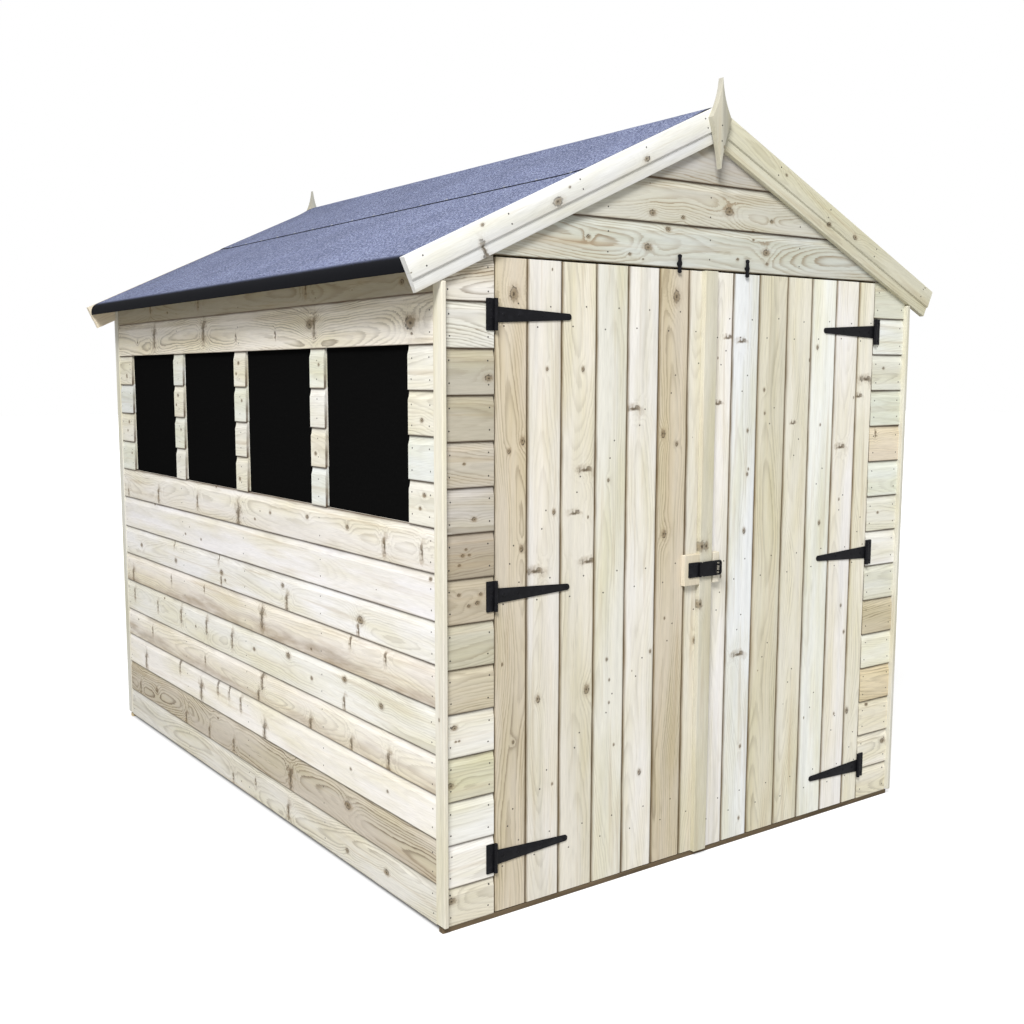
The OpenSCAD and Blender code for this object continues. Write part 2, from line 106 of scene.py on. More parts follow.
def smooth(x: Array | float) -> Array:
    """Smooth step 3 t^2 - 2 t^3 of x held between 0 and 1."""
    t = np.clip(x, 0.0, 1.0)
    return t * t * (3.0 - 2.0 * t)


@dataclass(frozen=True)
class Placement:
    """Where a local (u, v, w) frame lies: u along the grain, v across the face, w into the wood."""

    origin: Array
    u: Array
    v: Array
    w: Array

    def point(self, local: Array) -> Array:
        """Returns the world points of local points (..., 3)."""
        return self.origin + local @ np.stack([self.u, self.v, self.w])

    @property
    def hand(self) -> float:
        """Plus 1 for a right-handed frame, minus 1 for a left-handed one."""
        return float(np.sign(np.linalg.det(np.stack([self.u, self.v, self.w]))))


X_AXIS, Y_AXIS, Z_AXIS = vector(1, 0, 0), vector(0, 1, 0), vector(0, 0, 1)


def signed_area(outline: Array) -> float:
    """Area of a closed outline (K, 2), positive when it runs anticlockwise."""
    following = np.roll(outline, -1, axis=0)
    return 0.5 * float(np.sum(outline[:, 0] * following[:, 1] - following[:, 0] * outline[:, 1]))


def tube_faces(rings: int, around: int, flip: bool, caps: bool = True, loop: bool = False) -> Faces:
    """Quads between the neighbouring rings of a tube, with an n-gon over each end.

    Args:
        rings: Number of rings of points.
        around: Points in each ring, which is closed.
        flip: Whether the faces are turned over.
        caps: Whether both ends are closed by one face.
        loop: Whether the last ring joins the first.

    Returns:
        Lists of point numbers, with point k of ring i at i * around + k.
    """
    spans = rings if loop else rings - 1
    i, k = np.meshgrid(np.arange(spans), np.arange(around), indexing="ij")
    ahead, beside = (i + 1) % rings, (k + 1) % around
    quads = np.stack(
        [i * around + k, i * around + beside, ahead * around + beside, ahead * around + k], axis=-1
    ).reshape(-1, 4)
    faces = (quads[:, ::-1] if flip else quads).tolist()
    if caps and not loop:
        first = np.arange(around)
        last = first + (rings - 1) * around
        faces.append((first if flip else first[::-1]).tolist())
        faces.append((last[::-1] if flip else last).tolist())
    return faces


class Stack:
    """Gathers surfaces with their attributes, and makes one mesh object of them."""

    def __init__(self) -> None:
        """Starts an empty stack."""
        self.points: list[Array] = []
        self.faces: Faces = []
        self.attributes: dict[tuple[str, str], list[Array]] = {}
        self.count = 0

    def add(
        self, points: Array, faces: Faces, at_points: Values | None = None, at_faces: Values | None = None
    ) -> None:
        """Adds a surface.

        Args:
            points: Its points, (N, 3).
            faces: Its faces, numbered from its own first point.
            at_points: Values by name, each (N, 3).
            at_faces: Values by name, with three numbers for each face.
        """
        self.faces += [[self.count + index for index in face] for face in faces]
        self.points.append(points)
        for domain, values in (("POINT", at_points or {}), ("FACE", at_faces or {})):
            for name, value in values.items():
                self.attributes.setdefault((name, domain), []).append(value)
        self.count += len(points)

    def build(self, name: str, material: bpy.types.Material, crease: float = 32.0) -> bpy.types.Object:
        """Makes the mesh object, at the origin and unturned.

        Args:
            name: Name of the object.
            material: Its one material.
            crease: Angle in degrees above which an edge stays sharp.

        Returns:
            The object, linked to the scene.
        """
        mesh = bpy.data.meshes.new(name)
        mesh.from_pydata(np.concatenate(self.points).tolist(), [], self.faces)
        for (key, domain), parts in self.attributes.items():
            layer = mesh.attributes.new(key, "FLOAT_VECTOR", domain)
            layer.data.foreach_set("vector", np.concatenate(parts).ravel())
        mesh.polygons.foreach_set("use_smooth", np.ones(len(mesh.polygons), dtype=bool))
        mesh.set_sharp_from_angle(angle=math.radians(crease))
        mesh.materials.append(material)
        mesh.validate()
        obj = bpy.data.objects.new(name, mesh)
        bpy.context.scene.collection.objects.link(obj)
        return obj


class Graph:
    """The node tree of one material or of the world, built node by node."""

    def __init__(self, name: str, world: bool = False) -> None:
        """Starts an empty tree.

        Args:
            name: Name of the material or the world.
            world: Whether the tree is a world's.
        """
        self.owner = (bpy.data.worlds if world else bpy.data.materials).new(name)
        self.owner.use_nodes = True
        self.tree = self.owner.node_tree
        self.tree.nodes.clear()

    def add(
        self,
        kind: str,
        inputs: Sequence[Any] | Mapping[Any, Any] = (),
        out: int | str = 0,
        **settings: Any,
    ) -> Any:
        """Adds a node with its settings and links.

        Args:
            kind: Node type without its ShaderNode prefix.
            inputs: Values or sockets for the inputs, in order or by name or number.
            out: Which output to return.
            settings: Properties of the node.

        Returns:
            The output socket, or the node if it has none.
        """
        node = self.tree.nodes.new("ShaderNode" + kind)
        for key, value in settings.items():
            setattr(node, key, value)
        pairs = inputs.items() if isinstance(inputs, Mapping) else enumerate(inputs)
        for key, value in pairs:
            if isinstance(value, bpy.types.NodeSocket):
                self.tree.links.new(value, node.inputs[key])
            else:
                node.inputs[key].default_value = value
        return node.outputs[out] if len(node.outputs) else node

    def surface(
        self, color: Any, height: Any, strength: float, depth: float, sockets: Mapping[str, float]
    ) -> bpy.types.Material:
        """Ends a material's tree in one shader with a bump.

        Args:
            color: Socket of the base colour.
            height: Socket of the relief.
            strength: Strength of the bump.
            depth: Depth in metres of a relief of 1.
            sockets: The shader's uniform values, by the names of its inputs.

        Returns:
            The material.
        """
        bump = self.add("Bump", {"Strength": strength, "Distance": depth, "Height": height})
        shader = self.add("BsdfPrincipled", {"Base Color": color, "Normal": bump, **sockets})
        self.add("OutputMaterial", [shader])
        return self.owner


# --- Finishes -----------------------------------------------------------------------------------


@dataclass(frozen=True)
class Pine:
    """Pressure-treated pine or spruce: cream sapwood, tan latewood lines, brown knots, a green-grey tint.

    The growth rings are cylinders around a pith that wanders along the board, so a flat face shows
    cathedral arches and a cut end shows arcs. Planed and unvarnished, it gives the eye a matt face.
    """

    name: str
    tint: tuple[float, float, float] = (1.0, 1.0, 1.0)
    latewood: str = "#655440"
    heart: str = "#9C8A6C"
    halo: str = "#8C775A"
    knot: str = "#75654B"
    bark: str = "#2A2118"
    # Colour of the soiling, and of the painted shade in seams and vees
    grime: str = "#4F3B27"
    ring: float = 6.4 * MM
    whorl: float = 0.34
    knot_share: float = 0.45
    knot_radius: float = 6.5 * MM
    smudge: float = 0.55
    fleck: float = 0.35
    ring_depth: float = 0.95
    banding: float = 0.26
    roughness: float = 0.72
    saw_marks: float = 0.0

    def _knot(self, g: Graph, offset: Any, radius: Any) -> tuple[Any, Any, Any, Any]:
        """Adds one knot: an oval along the grain, or for a spike a smear across it.

        The ratio is the distance from its middle over its radius, unevened by noise. The rim lies near a
        ratio of 1. A spike is two fifths as long along the grain as across it.

        Args:
            g: The material's graph.
            offset: Vector from the knot's middle to the point, along and across the grain.
            radius: Its radius, below zero for a spike; none shows where it is zero.

        Returns:
            Sockets for the core, the dark rim, the smudge, and the push on the growth rings.
        """
        spike = g.add("Math", [radius, 0.0], operation="LESS_THAN")
        radius = g.add("Math", [radius], operation="ABSOLUTE")
        shape = g.add(
            "Mix", {0: spike, 4: (0.66, 1.0, 0.0), 5: (0.8, 0.33, 0.0)}, out=1, data_type="VECTOR"
        )
        coarse = g.add("TexNoise", {"Vector": offset, "Scale": 38.0, "Detail": 2.0}, out="Color")
        sway = g.add("SeparateXYZ", [coarse], out=2)
        lean = g.add("Math", [sway, 0.5], operation="SUBTRACT")
        lean = g.add("Math", [lean, spike], operation="MULTIPLY")
        lean = g.add("Math", [lean, 0.06], operation="MULTIPLY")
        bent = g.add("VectorMath", [offset, g.add("CombineXYZ", [lean, 0.0, 0.0])], operation="ADD")
        flat = g.add("VectorMath", [bent, shape], operation="MULTIPLY")
        distance = g.add("VectorMath", [flat], out=1, operation="LENGTH")
        size = g.add("Math", [radius, 0.0002], operation="MAXIMUM")
        ratio = g.add("Math", [distance, size], operation="DIVIDE")
        wave = g.add("TexNoise", {"Vector": offset, "Scale": 150.0, "Detail": 3.0})
        ratio = g.add("Math", [wave, 1.1, ratio], operation="MULTIPLY_ADD")
        ratio = g.add("Math", [ratio, 0.55], operation="SUBTRACT")
        shown = g.add("Math", [radius, 0.0008], operation="GREATER_THAN")
        core = g.add("MapRange", [ratio, 0.5, 1.1, 1.0, 0.0], interpolation_type="SMOOTHSTEP")
        core = g.add("Math", [core, shown], operation="MULTIPLY")
        edge = g.add("Math", [ratio, 0.9], operation="SUBTRACT")
        edge = g.add("Math", [edge], operation="ABSOLUTE")
        rim = g.add("MapRange", [edge, 0.03, 0.26, 1.0, 0.0], interpolation_type="SMOOTHSTEP")
        gap = g.add("MapRange", [g.add("SeparateXYZ", [coarse], out=1), 0.4, 0.58, 0.1, 1.0])
        rim = g.add("Math", [rim, gap], operation="MULTIPLY")
        inner = g.add("MapRange", [spike, 0.0, 1.0, 0.5, 1.0])
        eye = g.add("MapRange", [ratio, 0.0, inner, 1.0, 0.0], interpolation_type="SMOOTHSTEP")
        rim = g.add("Math", [rim, eye], operation="MAXIMUM")
        faint = g.add("MapRange", [spike, 0.0, 1.0, 1.0, 0.8])
        rim = g.add("Math", [rim, faint], operation="MULTIPLY")
        rim = g.add("Math", [rim, shown], operation="MULTIPLY")
        smudge = g.add("MapRange", [ratio, 0.9, 2.1, 1.0, 0.0], interpolation_type="SMOOTHSTEP")
        smudge = g.add("Math", [smudge, shown], operation="MULTIPLY")
        square = g.add("Math", [ratio, ratio], operation="MULTIPLY")
        fall = g.add("Math", [square, -0.11], operation="MULTIPLY")
        push = g.add("Math", [fall], operation="EXPONENT")
        push = g.add("Math", [push, radius], operation="MULTIPLY")
        return core, rim, smudge, push

    def material(self) -> bpy.types.Material:
        """Builds the material. It reads a board's attributes grain, tone, habit, the painted seam shade and
        its knots.

        Returns:
            The pine material.
        """
        g = Graph(self.name)
        grain, tone, habit, grime, *places = [
            g.add("Attribute", out="Vector", attribute_name=key)
            for key in ("grain", "tone", "habit", "grime", *KNOT_KEYS)
        ]
        u = g.add("SeparateXYZ", [grain])
        v, w = u.node.outputs[1], u.node.outputs[2]
        figure = g.add("SeparateXYZ", [habit])
        wane = figure.node.outputs[1]

        # Knots: three placed on each board, and smaller ones in cells as long as a year's growth
        parts = []
        for place in places:
            offset = g.add("VectorMath", [grain, place], operation="SUBTRACT")
            radius = g.add("SeparateXYZ", [place], out=2)
            parts.append(self._knot(g, offset, radius))
        cell = (self.whorl, 0.12, 1.0)
        scaled = g.add("VectorMath", [grain, cell], operation="DIVIDE")
        spot = g.add("TexVoronoi", {"Vector": scaled, "Scale": 1.0}, out="Position", voronoi_dimensions="2D")
        chance = g.add("SeparateXYZ", [spot.node.outputs["Color"]])
        middle = g.add("VectorMath", [spot, cell], operation="MULTIPLY")
        offset = g.add("VectorMath", [grain, middle], operation="SUBTRACT")
        radius = g.add("MapRange", [chance, 1.0 - self.knot_share, 1.0, 0.0, self.knot_radius])
        parts.append(self._knot(g, offset, radius))
        core, rim, smudge, push = parts[0]
        for more in parts[1:]:
            core, rim, smudge = [
                g.add("Math", pair, operation="MAXIMUM") for pair in zip((core, rim, smudge), more)
            ]
            push = g.add("Math", [push, more[3]], operation="ADD")

        # Noise drawn out along the grain, by its cycles in each metre along, across and deep. The fibres
        # lie about 2 mm apart, a little coarser than real so that they show
        noise = {}
        for key, cycles, detail, out in (
            ("fibre", (22.0, 420.0, 420.0), 3.0, 0), ("wander", (0.85, 0.0, 0.0), 1.5, "Color"),
            ("ripple", (7.0, 34.0, 34.0), 4.5, 0), ("patch", (2.4, 14.0, 14.0), 4.0, 0),
            ("streak", (1.6, 46.0, 46.0), 4.0, 0), ("band", (1.1, 17.0, 17.0), 2.0, "Color"),
            ("kerf", (260.0, 14.0, 14.0), 1.0, 0),
        ):
            if key != "kerf" or self.saw_marks:
                at = g.add("VectorMath", [grain, cycles], operation="MULTIPLY")
                noise[key] = g.add("TexNoise", {"Vector": at, "Scale": 1.0, "Detail": detail}, out=out)
        fibre, ripple, patch, streak = (noise[key] for key in ("fibre", "ripple", "patch", "streak"))
        band = g.add("SeparateXYZ", [noise["band"]], out=1)

        # Growth rings: distance from a pith that wanders by centimetres over each metre of length
        pith = g.add("SeparateXYZ", [noise["wander"]])
        across = g.add("MapRange", [pith, 0.25, 0.75, -0.075, 0.075], clamp=False)
        below = g.add("MapRange", [pith.node.outputs[1], 0.3, 0.7, 0.006, 0.075])
        side = g.add("Math", [v, across], operation="SUBTRACT")
        side = g.add("Math", [ripple, 0.016, side], operation="MULTIPLY_ADD")
        depth = g.add("Math", [w, below], operation="ADD")
        spoke = g.add("CombineXYZ", [side, depth, 0.0])
        radial = g.add("VectorMath", [spoke], out=1, operation="LENGTH")
        radial = g.add("Math", [push, 1.5, radial], operation="MULTIPLY_ADD")
        radial = g.add("Math", [fibre, 0.0032, radial], operation="MULTIPLY_ADD")
        phase = g.add("Math", [radial, self.ring], operation="DIVIDE")
        turn = g.add("Math", [phase], operation="FRACT")
        line = g.add("MapRange", [turn, 0.38, 0.86, 0.0, 1.0], interpolation_type="SMOOTHSTEP")
        drop = g.add("MapRange", [turn, 0.88, 1.0, 1.0, 0.0], interpolation_type="SMOOTHSTEP")
        year = g.add("TexWhiteNoise", {"W": g.add("Math", [phase], operation="FLOOR")}, noise_dimensions="1D")
        year = g.add("MapRange", [year, 0.0, 1.0, 0.25, 1.0])
        seen = g.add("MapRange", [patch, 0.36, 0.58, 0.15, 1.0])
        seen = g.add("Math", [seen, figure], operation="MULTIPLY")
        for part in (drop, year, seen):
            line = g.add("Math", [line, part], operation="MULTIPLY")

        # How much of each colour shows: heartwood bands and flecks, latewood lines, waney wood along the
        # lower edge, the stain round a knot, the knot and its bark, and soiling with painted shade in the
        # seams
        brown = g.add("MapRange", [band, 0.52, 0.68, 0.0, 0.4])
        brown = g.add("Math", [brown, figure], operation="MULTIPLY")
        fleck = g.add("MapRange", [streak, 0.56, 0.7, 0.0, self.fleck])
        mark = g.add("Math", [line, self.ring_depth], operation="MULTIPLY")
        low = g.add("Math", [patch, 0.16, v], operation="MULTIPLY_ADD")
        low = g.add("MapRange", [low, 0.09, 0.03, 0.0, 0.75], interpolation_type="SMOOTHSTEP")
        low = g.add("Math", [low, wane], operation="MULTIPLY")
        low = g.add("Math", [low, g.add("MapRange", [ripple, 0.35, 0.6, 0.45, 1.0])], operation="MULTIPLY")
        stain = g.add("MapRange", [streak, 0.3, 0.62, 0.35, 1.0])
        stain = g.add("Math", [stain, smudge], operation="MULTIPLY")
        stain = g.add("Math", [stain, self.smudge], operation="MULTIPLY")
        heartwood = g.add("Math", [core, 0.72], operation="MULTIPLY")
        dark = g.add("Math", [rim, 0.85], operation="MULTIPLY")
        # Painted shade: the seam attribute darkens the lip's underside, the slot, the scoop and the vees,
        # where shade falls; the noise adds soiling in patches
        dirt_and_seam_shade = g.add("Math", [ripple, 0.7, g.add("SeparateXYZ", [grime])], operation="MULTIPLY_ADD")
        dirt_and_seam_shade = g.add("MapRange", [dirt_and_seam_shade, 0.45, 1.3, 0.0, 0.95])

        # Colour: the board's own tone, cleaner and duller in patches, then each layer over the last
        clean = g.add("VectorMath", [tone, (1.05, 1.05, 1.08)], operation="MULTIPLY")
        dull = g.add("VectorMath", [tone, (0.9, 0.88, 0.78)], operation="MULTIPLY")
        drift = g.add("MapRange", [patch, 0.38, 0.68, 0.0, 1.0])
        color = g.add("Mix", {0: drift, 4: clean, 5: dull}, out=1, data_type="VECTOR")
        color = g.add("VectorMath", [color, self.tint], operation="MULTIPLY")
        for mask, layer in (
            (brown, self.heart), (fleck, self.heart), (mark, self.latewood), (low, self.halo),
            (stain, self.halo), (heartwood, self.knot), (dark, self.bark), (dirt_and_seam_shade, self.grime),
        ):
            color = g.add("Mix", {0: mask, 6: color, 7: linear(layer)}, out=2, data_type="RGBA")
        level: Any = 0.58 - self.banding / 2
        for part, share in ((fibre, 0.3), (streak, 0.34), (band, self.banding), (patch, 0.2)):
            level = g.add("Math", [part, share, level], operation="MULTIPLY_ADD")
        color = g.add("VectorMath", {0: color, "Scale": level}, operation="SCALE")

        # Relief: hard latewood stands proud of the soft earlywood by about 0.1 mm
        height = g.add("Math", [line, 0.6, fibre], operation="MULTIPLY_ADD")
        if self.saw_marks:
            height = g.add("Math", [noise["kerf"], self.saw_marks, height], operation="MULTIPLY_ADD")
        return g.surface(
            color, height, 0.5, 0.00025, {"Roughness": self.roughness, "Specular IOR Level": 0.25}
        )


@dataclass(frozen=True)
class Felt:
    """Mineral surfaced bitumen roofing felt: slate granules of 1 to 2 mm pressed into black bitumen.

    It gives the eye a matt blue-grey speckle, and painted shade in bitumen colour where the sheet is bent at
    the eaves.
    The granules are drawn 3 mm apart so that they show.
    """

    name: str = "mineral_felt"
    granule: str = "#646B88"
    shadow: str = "#3B3F54"
    glint: str = "#9BA2B8"
    bitumen: str = "#0A0B0F"
    pitch: float = 3.0 * MM

    def material(self) -> bpy.types.Material:
        """Builds the material. It reads the attribute tone, whose first value mixes in the bitumen colour:
        the uncoated underside, and painted shade on the eave roll, beside the barge boards and along the lap.

        Returns:
            The felt material.
        """
        g = Graph(self.name)
        place = g.add("TexCoord", out="Object")
        bitumen_and_shade = g.add("SeparateXYZ", [g.add("Attribute", out="Vector", attribute_name="tone")])
        grit = {"Vector": place, "Scale": 0.5 / self.pitch, "Detail": 3.0, "Roughness": 0.7}
        speck = g.add("TexNoise", grit)
        cloud = g.add("TexNoise", {"Vector": place, "Scale": 5.0, "Detail": 3.0})
        low = g.add("MapRange", [speck, 0.49, 0.36, 0.0, 1.0])
        high = g.add("MapRange", [speck, 0.51, 0.62, 0.0, 1.0])
        color: Any = linear(self.granule)
        for mask, layer in ((low, self.shadow), (high, self.glint)):
            color = g.add("Mix", {0: mask, 6: color, 7: linear(layer)}, out=2, data_type="RGBA")
        level = g.add("MapRange", [cloud, 0.3, 0.7, 0.9, 1.1])
        color = g.add("VectorMath", {0: color, "Scale": level}, operation="SCALE")
        # Painted shade in bitumen colour, and the uncoated underside, by the tone attribute
        edge = g.add("Math", [speck, 0.5, bitumen_and_shade], operation="MULTIPLY_ADD")
        edge = g.add("MapRange", [edge, 0.5, 1.0, 0.0, 1.0], interpolation_type="SMOOTHSTEP")
        color = g.add("Mix", {0: edge, 6: color, 7: linear(self.bitumen)}, out=2, data_type="RGBA")
        return g.surface(color, speck, 0.6, 0.0006, {"Roughness": 0.9, "Specular IOR Level": 0.08})


@dataclass(frozen=True)
class CoatedIron:
    """Pressed mild steel under black powder coat, which leaves a low orange-peel of about 1 mm."""

    name: str = "black_powder_coat"
    color: str = "#0F0F12"
    worn: str = "#1C1C20"
    roughness: float = 0.55

    def material(self) -> bpy.types.Material:
        """Builds the material.

        Returns:
            The powder coat material.
        """
        g = Graph(self.name)
        place = g.add("TexCoord", out="Object")
        peel = g.add("TexNoise", {"Vector": place, "Scale": 900.0, "Detail": 1.0})
        dust = g.add("TexNoise", {"Vector": place, "Scale": 60.0, "Detail": 4.0})
        mask = g.add("MapRange", [dust, 0.5, 0.75, 0.0, 0.7])
        colors = {0: mask, 6: linear(self.color), 7: linear(self.worn)}
        color = g.add("Mix", colors, out=2, data_type="RGBA")
        gloss = {"Roughness": self.roughness, "Specular IOR Level": 0.1}
        return g.surface(color, peel, 0.35, 0.0002, gloss)


@dataclass(frozen=True)
class Steel:
    """Nail and screw steel, drawn wire with a cut head: grey metal under patches of brown oxide."""

    name: str
    bright: str
    oxide: str
    rust: float
    metallic: float
    roughness: float

    def material(self) -> bpy.types.Material:
        """Builds the material.

        Returns:
            The steel material.
        """
        g = Graph(self.name)
        place = g.add("TexCoord", out="Object")
        patch = g.add("TexNoise", {"Vector": place, "Scale": 90.0, "Detail": 3.0})
        mask = g.add("MapRange", [patch, 0.75 - 0.5 * self.rust, 0.95 - 0.5 * self.rust, 0.0, 1.0])
        colors = {0: mask, 6: linear(self.bright), 7: linear(self.oxide)}
        color = g.add("Mix", colors, out=2, data_type="RGBA")
        gloss = {"Metallic": self.metallic, "Roughness": self.roughness}
        return g.surface(color, patch, 0.2, 0.0002, gloss)


@dataclass(frozen=True)
class DarkPane:
    """Clear styrene sheet glazing with an unlit room behind it, which reads as near black.

    The sheet is rolled, so its gloss wavers slightly over about 150 mm.
    """

    name: str = "styrene_glazing"
    # The near-black colour is painted shade: the dark of the unlit room behind the sheet
    color: str = "#0E0E0E"
    roughness: float = 0.3

    def material(self) -> bpy.types.Material:
        """Builds the material.

        Returns:
            The glazing material.
        """
        g = Graph(self.name)
        place = g.add("TexCoord", out="Object")
        wave = g.add("TexNoise", {"Vector": place, "Scale": 6.5, "Detail": 1.0})
        dust = g.add("TexNoise", {"Vector": place, "Scale": 120.0, "Detail": 4.0})
        level = g.add("MapRange", [dust, 0.4, 0.8, 0.9, 1.2])
        color = g.add("VectorMath", {0: linear(self.color)[:3], "Scale": level}, operation="SCALE")
        gloss = {"Roughness": self.roughness, "Specular IOR Level": 0.0}
        return g.surface(color, wave, 0.15, 0.002, gloss)


class Finish(Enum):
    """The finishes of the shed, each with the name of a material slot."""

    WALL = ("wall_boards", Pine("treated_shiplap", knot_share=0.3, knot_radius=5 * MM))
    GABLE = ("wall_boards", Pine("weathered_shiplap", latewood="#86735A", fleck=0.45))
    DOOR = (
        "door_boards",
        Pine(
            # The door's colour for soiling in the joints and for the painted shade in the vees
            "treated_matchboard", grime="#5A4726", ring_depth=0.7, banding=0.5, smudge=0.45,
            knot_share=0.3, knot_radius=3.5 * MM,
        ),
    )
    TRIM = (
        "trim_pine",
        Pine("planed_trim", ring_depth=0.3, ring=4.2 * MM, smudge=0.3, knot_share=0.25, knot_radius=3 * MM),
    )
    FRAME = ("framing_pine", Pine("sawn_framing", tint=(0.86, 0.78, 0.6), saw_marks=1.4, roughness=0.85))
    LEDGE = ("ledge_pine", Pine("planed_ledge", tint=(0.92, 0.86, 0.72)))
    FELT = ("roof_felt", Felt())
    IRON = ("black_iron", CoatedIron())
    NAIL = ("black_iron", Steel("oxidised_nail", "#2E2A26", "#1D1712", rust=0.8, metallic=0.0, roughness=0.7))
    CLOUT = (
        "black_iron",
        Steel("galvanised_clout", "#A4A7AE", "#74777E", rust=0.15, metallic=0.5, roughness=0.5),
    )
    PANE = ("window_glass", DarkPane())

    @property
    def slot(self) -> str:
        """The name of its material slot."""
        return self.value[0]

    @property
    def recipe(self) -> Any:
        """What its material is made from."""
        return self.value[1]


class Paints:
    """Makes each finish's material once."""

    def __init__(self) -> None:
        """Starts with no material made."""
        self._made: dict[Finish, bpy.types.Material] = {}

    def get(self, finish: Finish) -> bpy.types.Material:
        """Returns the finish's material, made on first use."""
        if finish not in self._made:
            self._made[finish] = finish.recipe.material()
        return self._made[finish]


# --- Boards, nails and plates -------------------------------------------------------------------


@dataclass(frozen=True)
class Knot:
    """A knot on a board: metres from the board's start, metres from its middle line, radius.

    A spike was sawn along its length, and crosses the board as a smear.
    """

    along: float
    across: float
    radius: float
    spike: bool = False


@dataclass(frozen=True)
class Look:
    """How one board looks: its colour, its strength of figure and of waney wood from 0 to 1, its knots."""

    color: str
    figure: float
    wane: float = 0.0
    knots: tuple[Knot, ...] = ()


def rounds(*rows: tuple[float, float, float]) -> tuple[Knot, ...]:
    """Returns round knots from rows of metres along, metres across and millimetres of radius."""
    return tuple(Knot(along, across, radius * MM) for along, across, radius in rows)


def spikes(*rows: tuple[float, float, float]) -> tuple[Knot, ...]:
    """Returns spike knots from rows of metres along, metres across and millimetres of radius."""
    return tuple(Knot(along, across, radius * MM, True) for along, across, radius in rows)


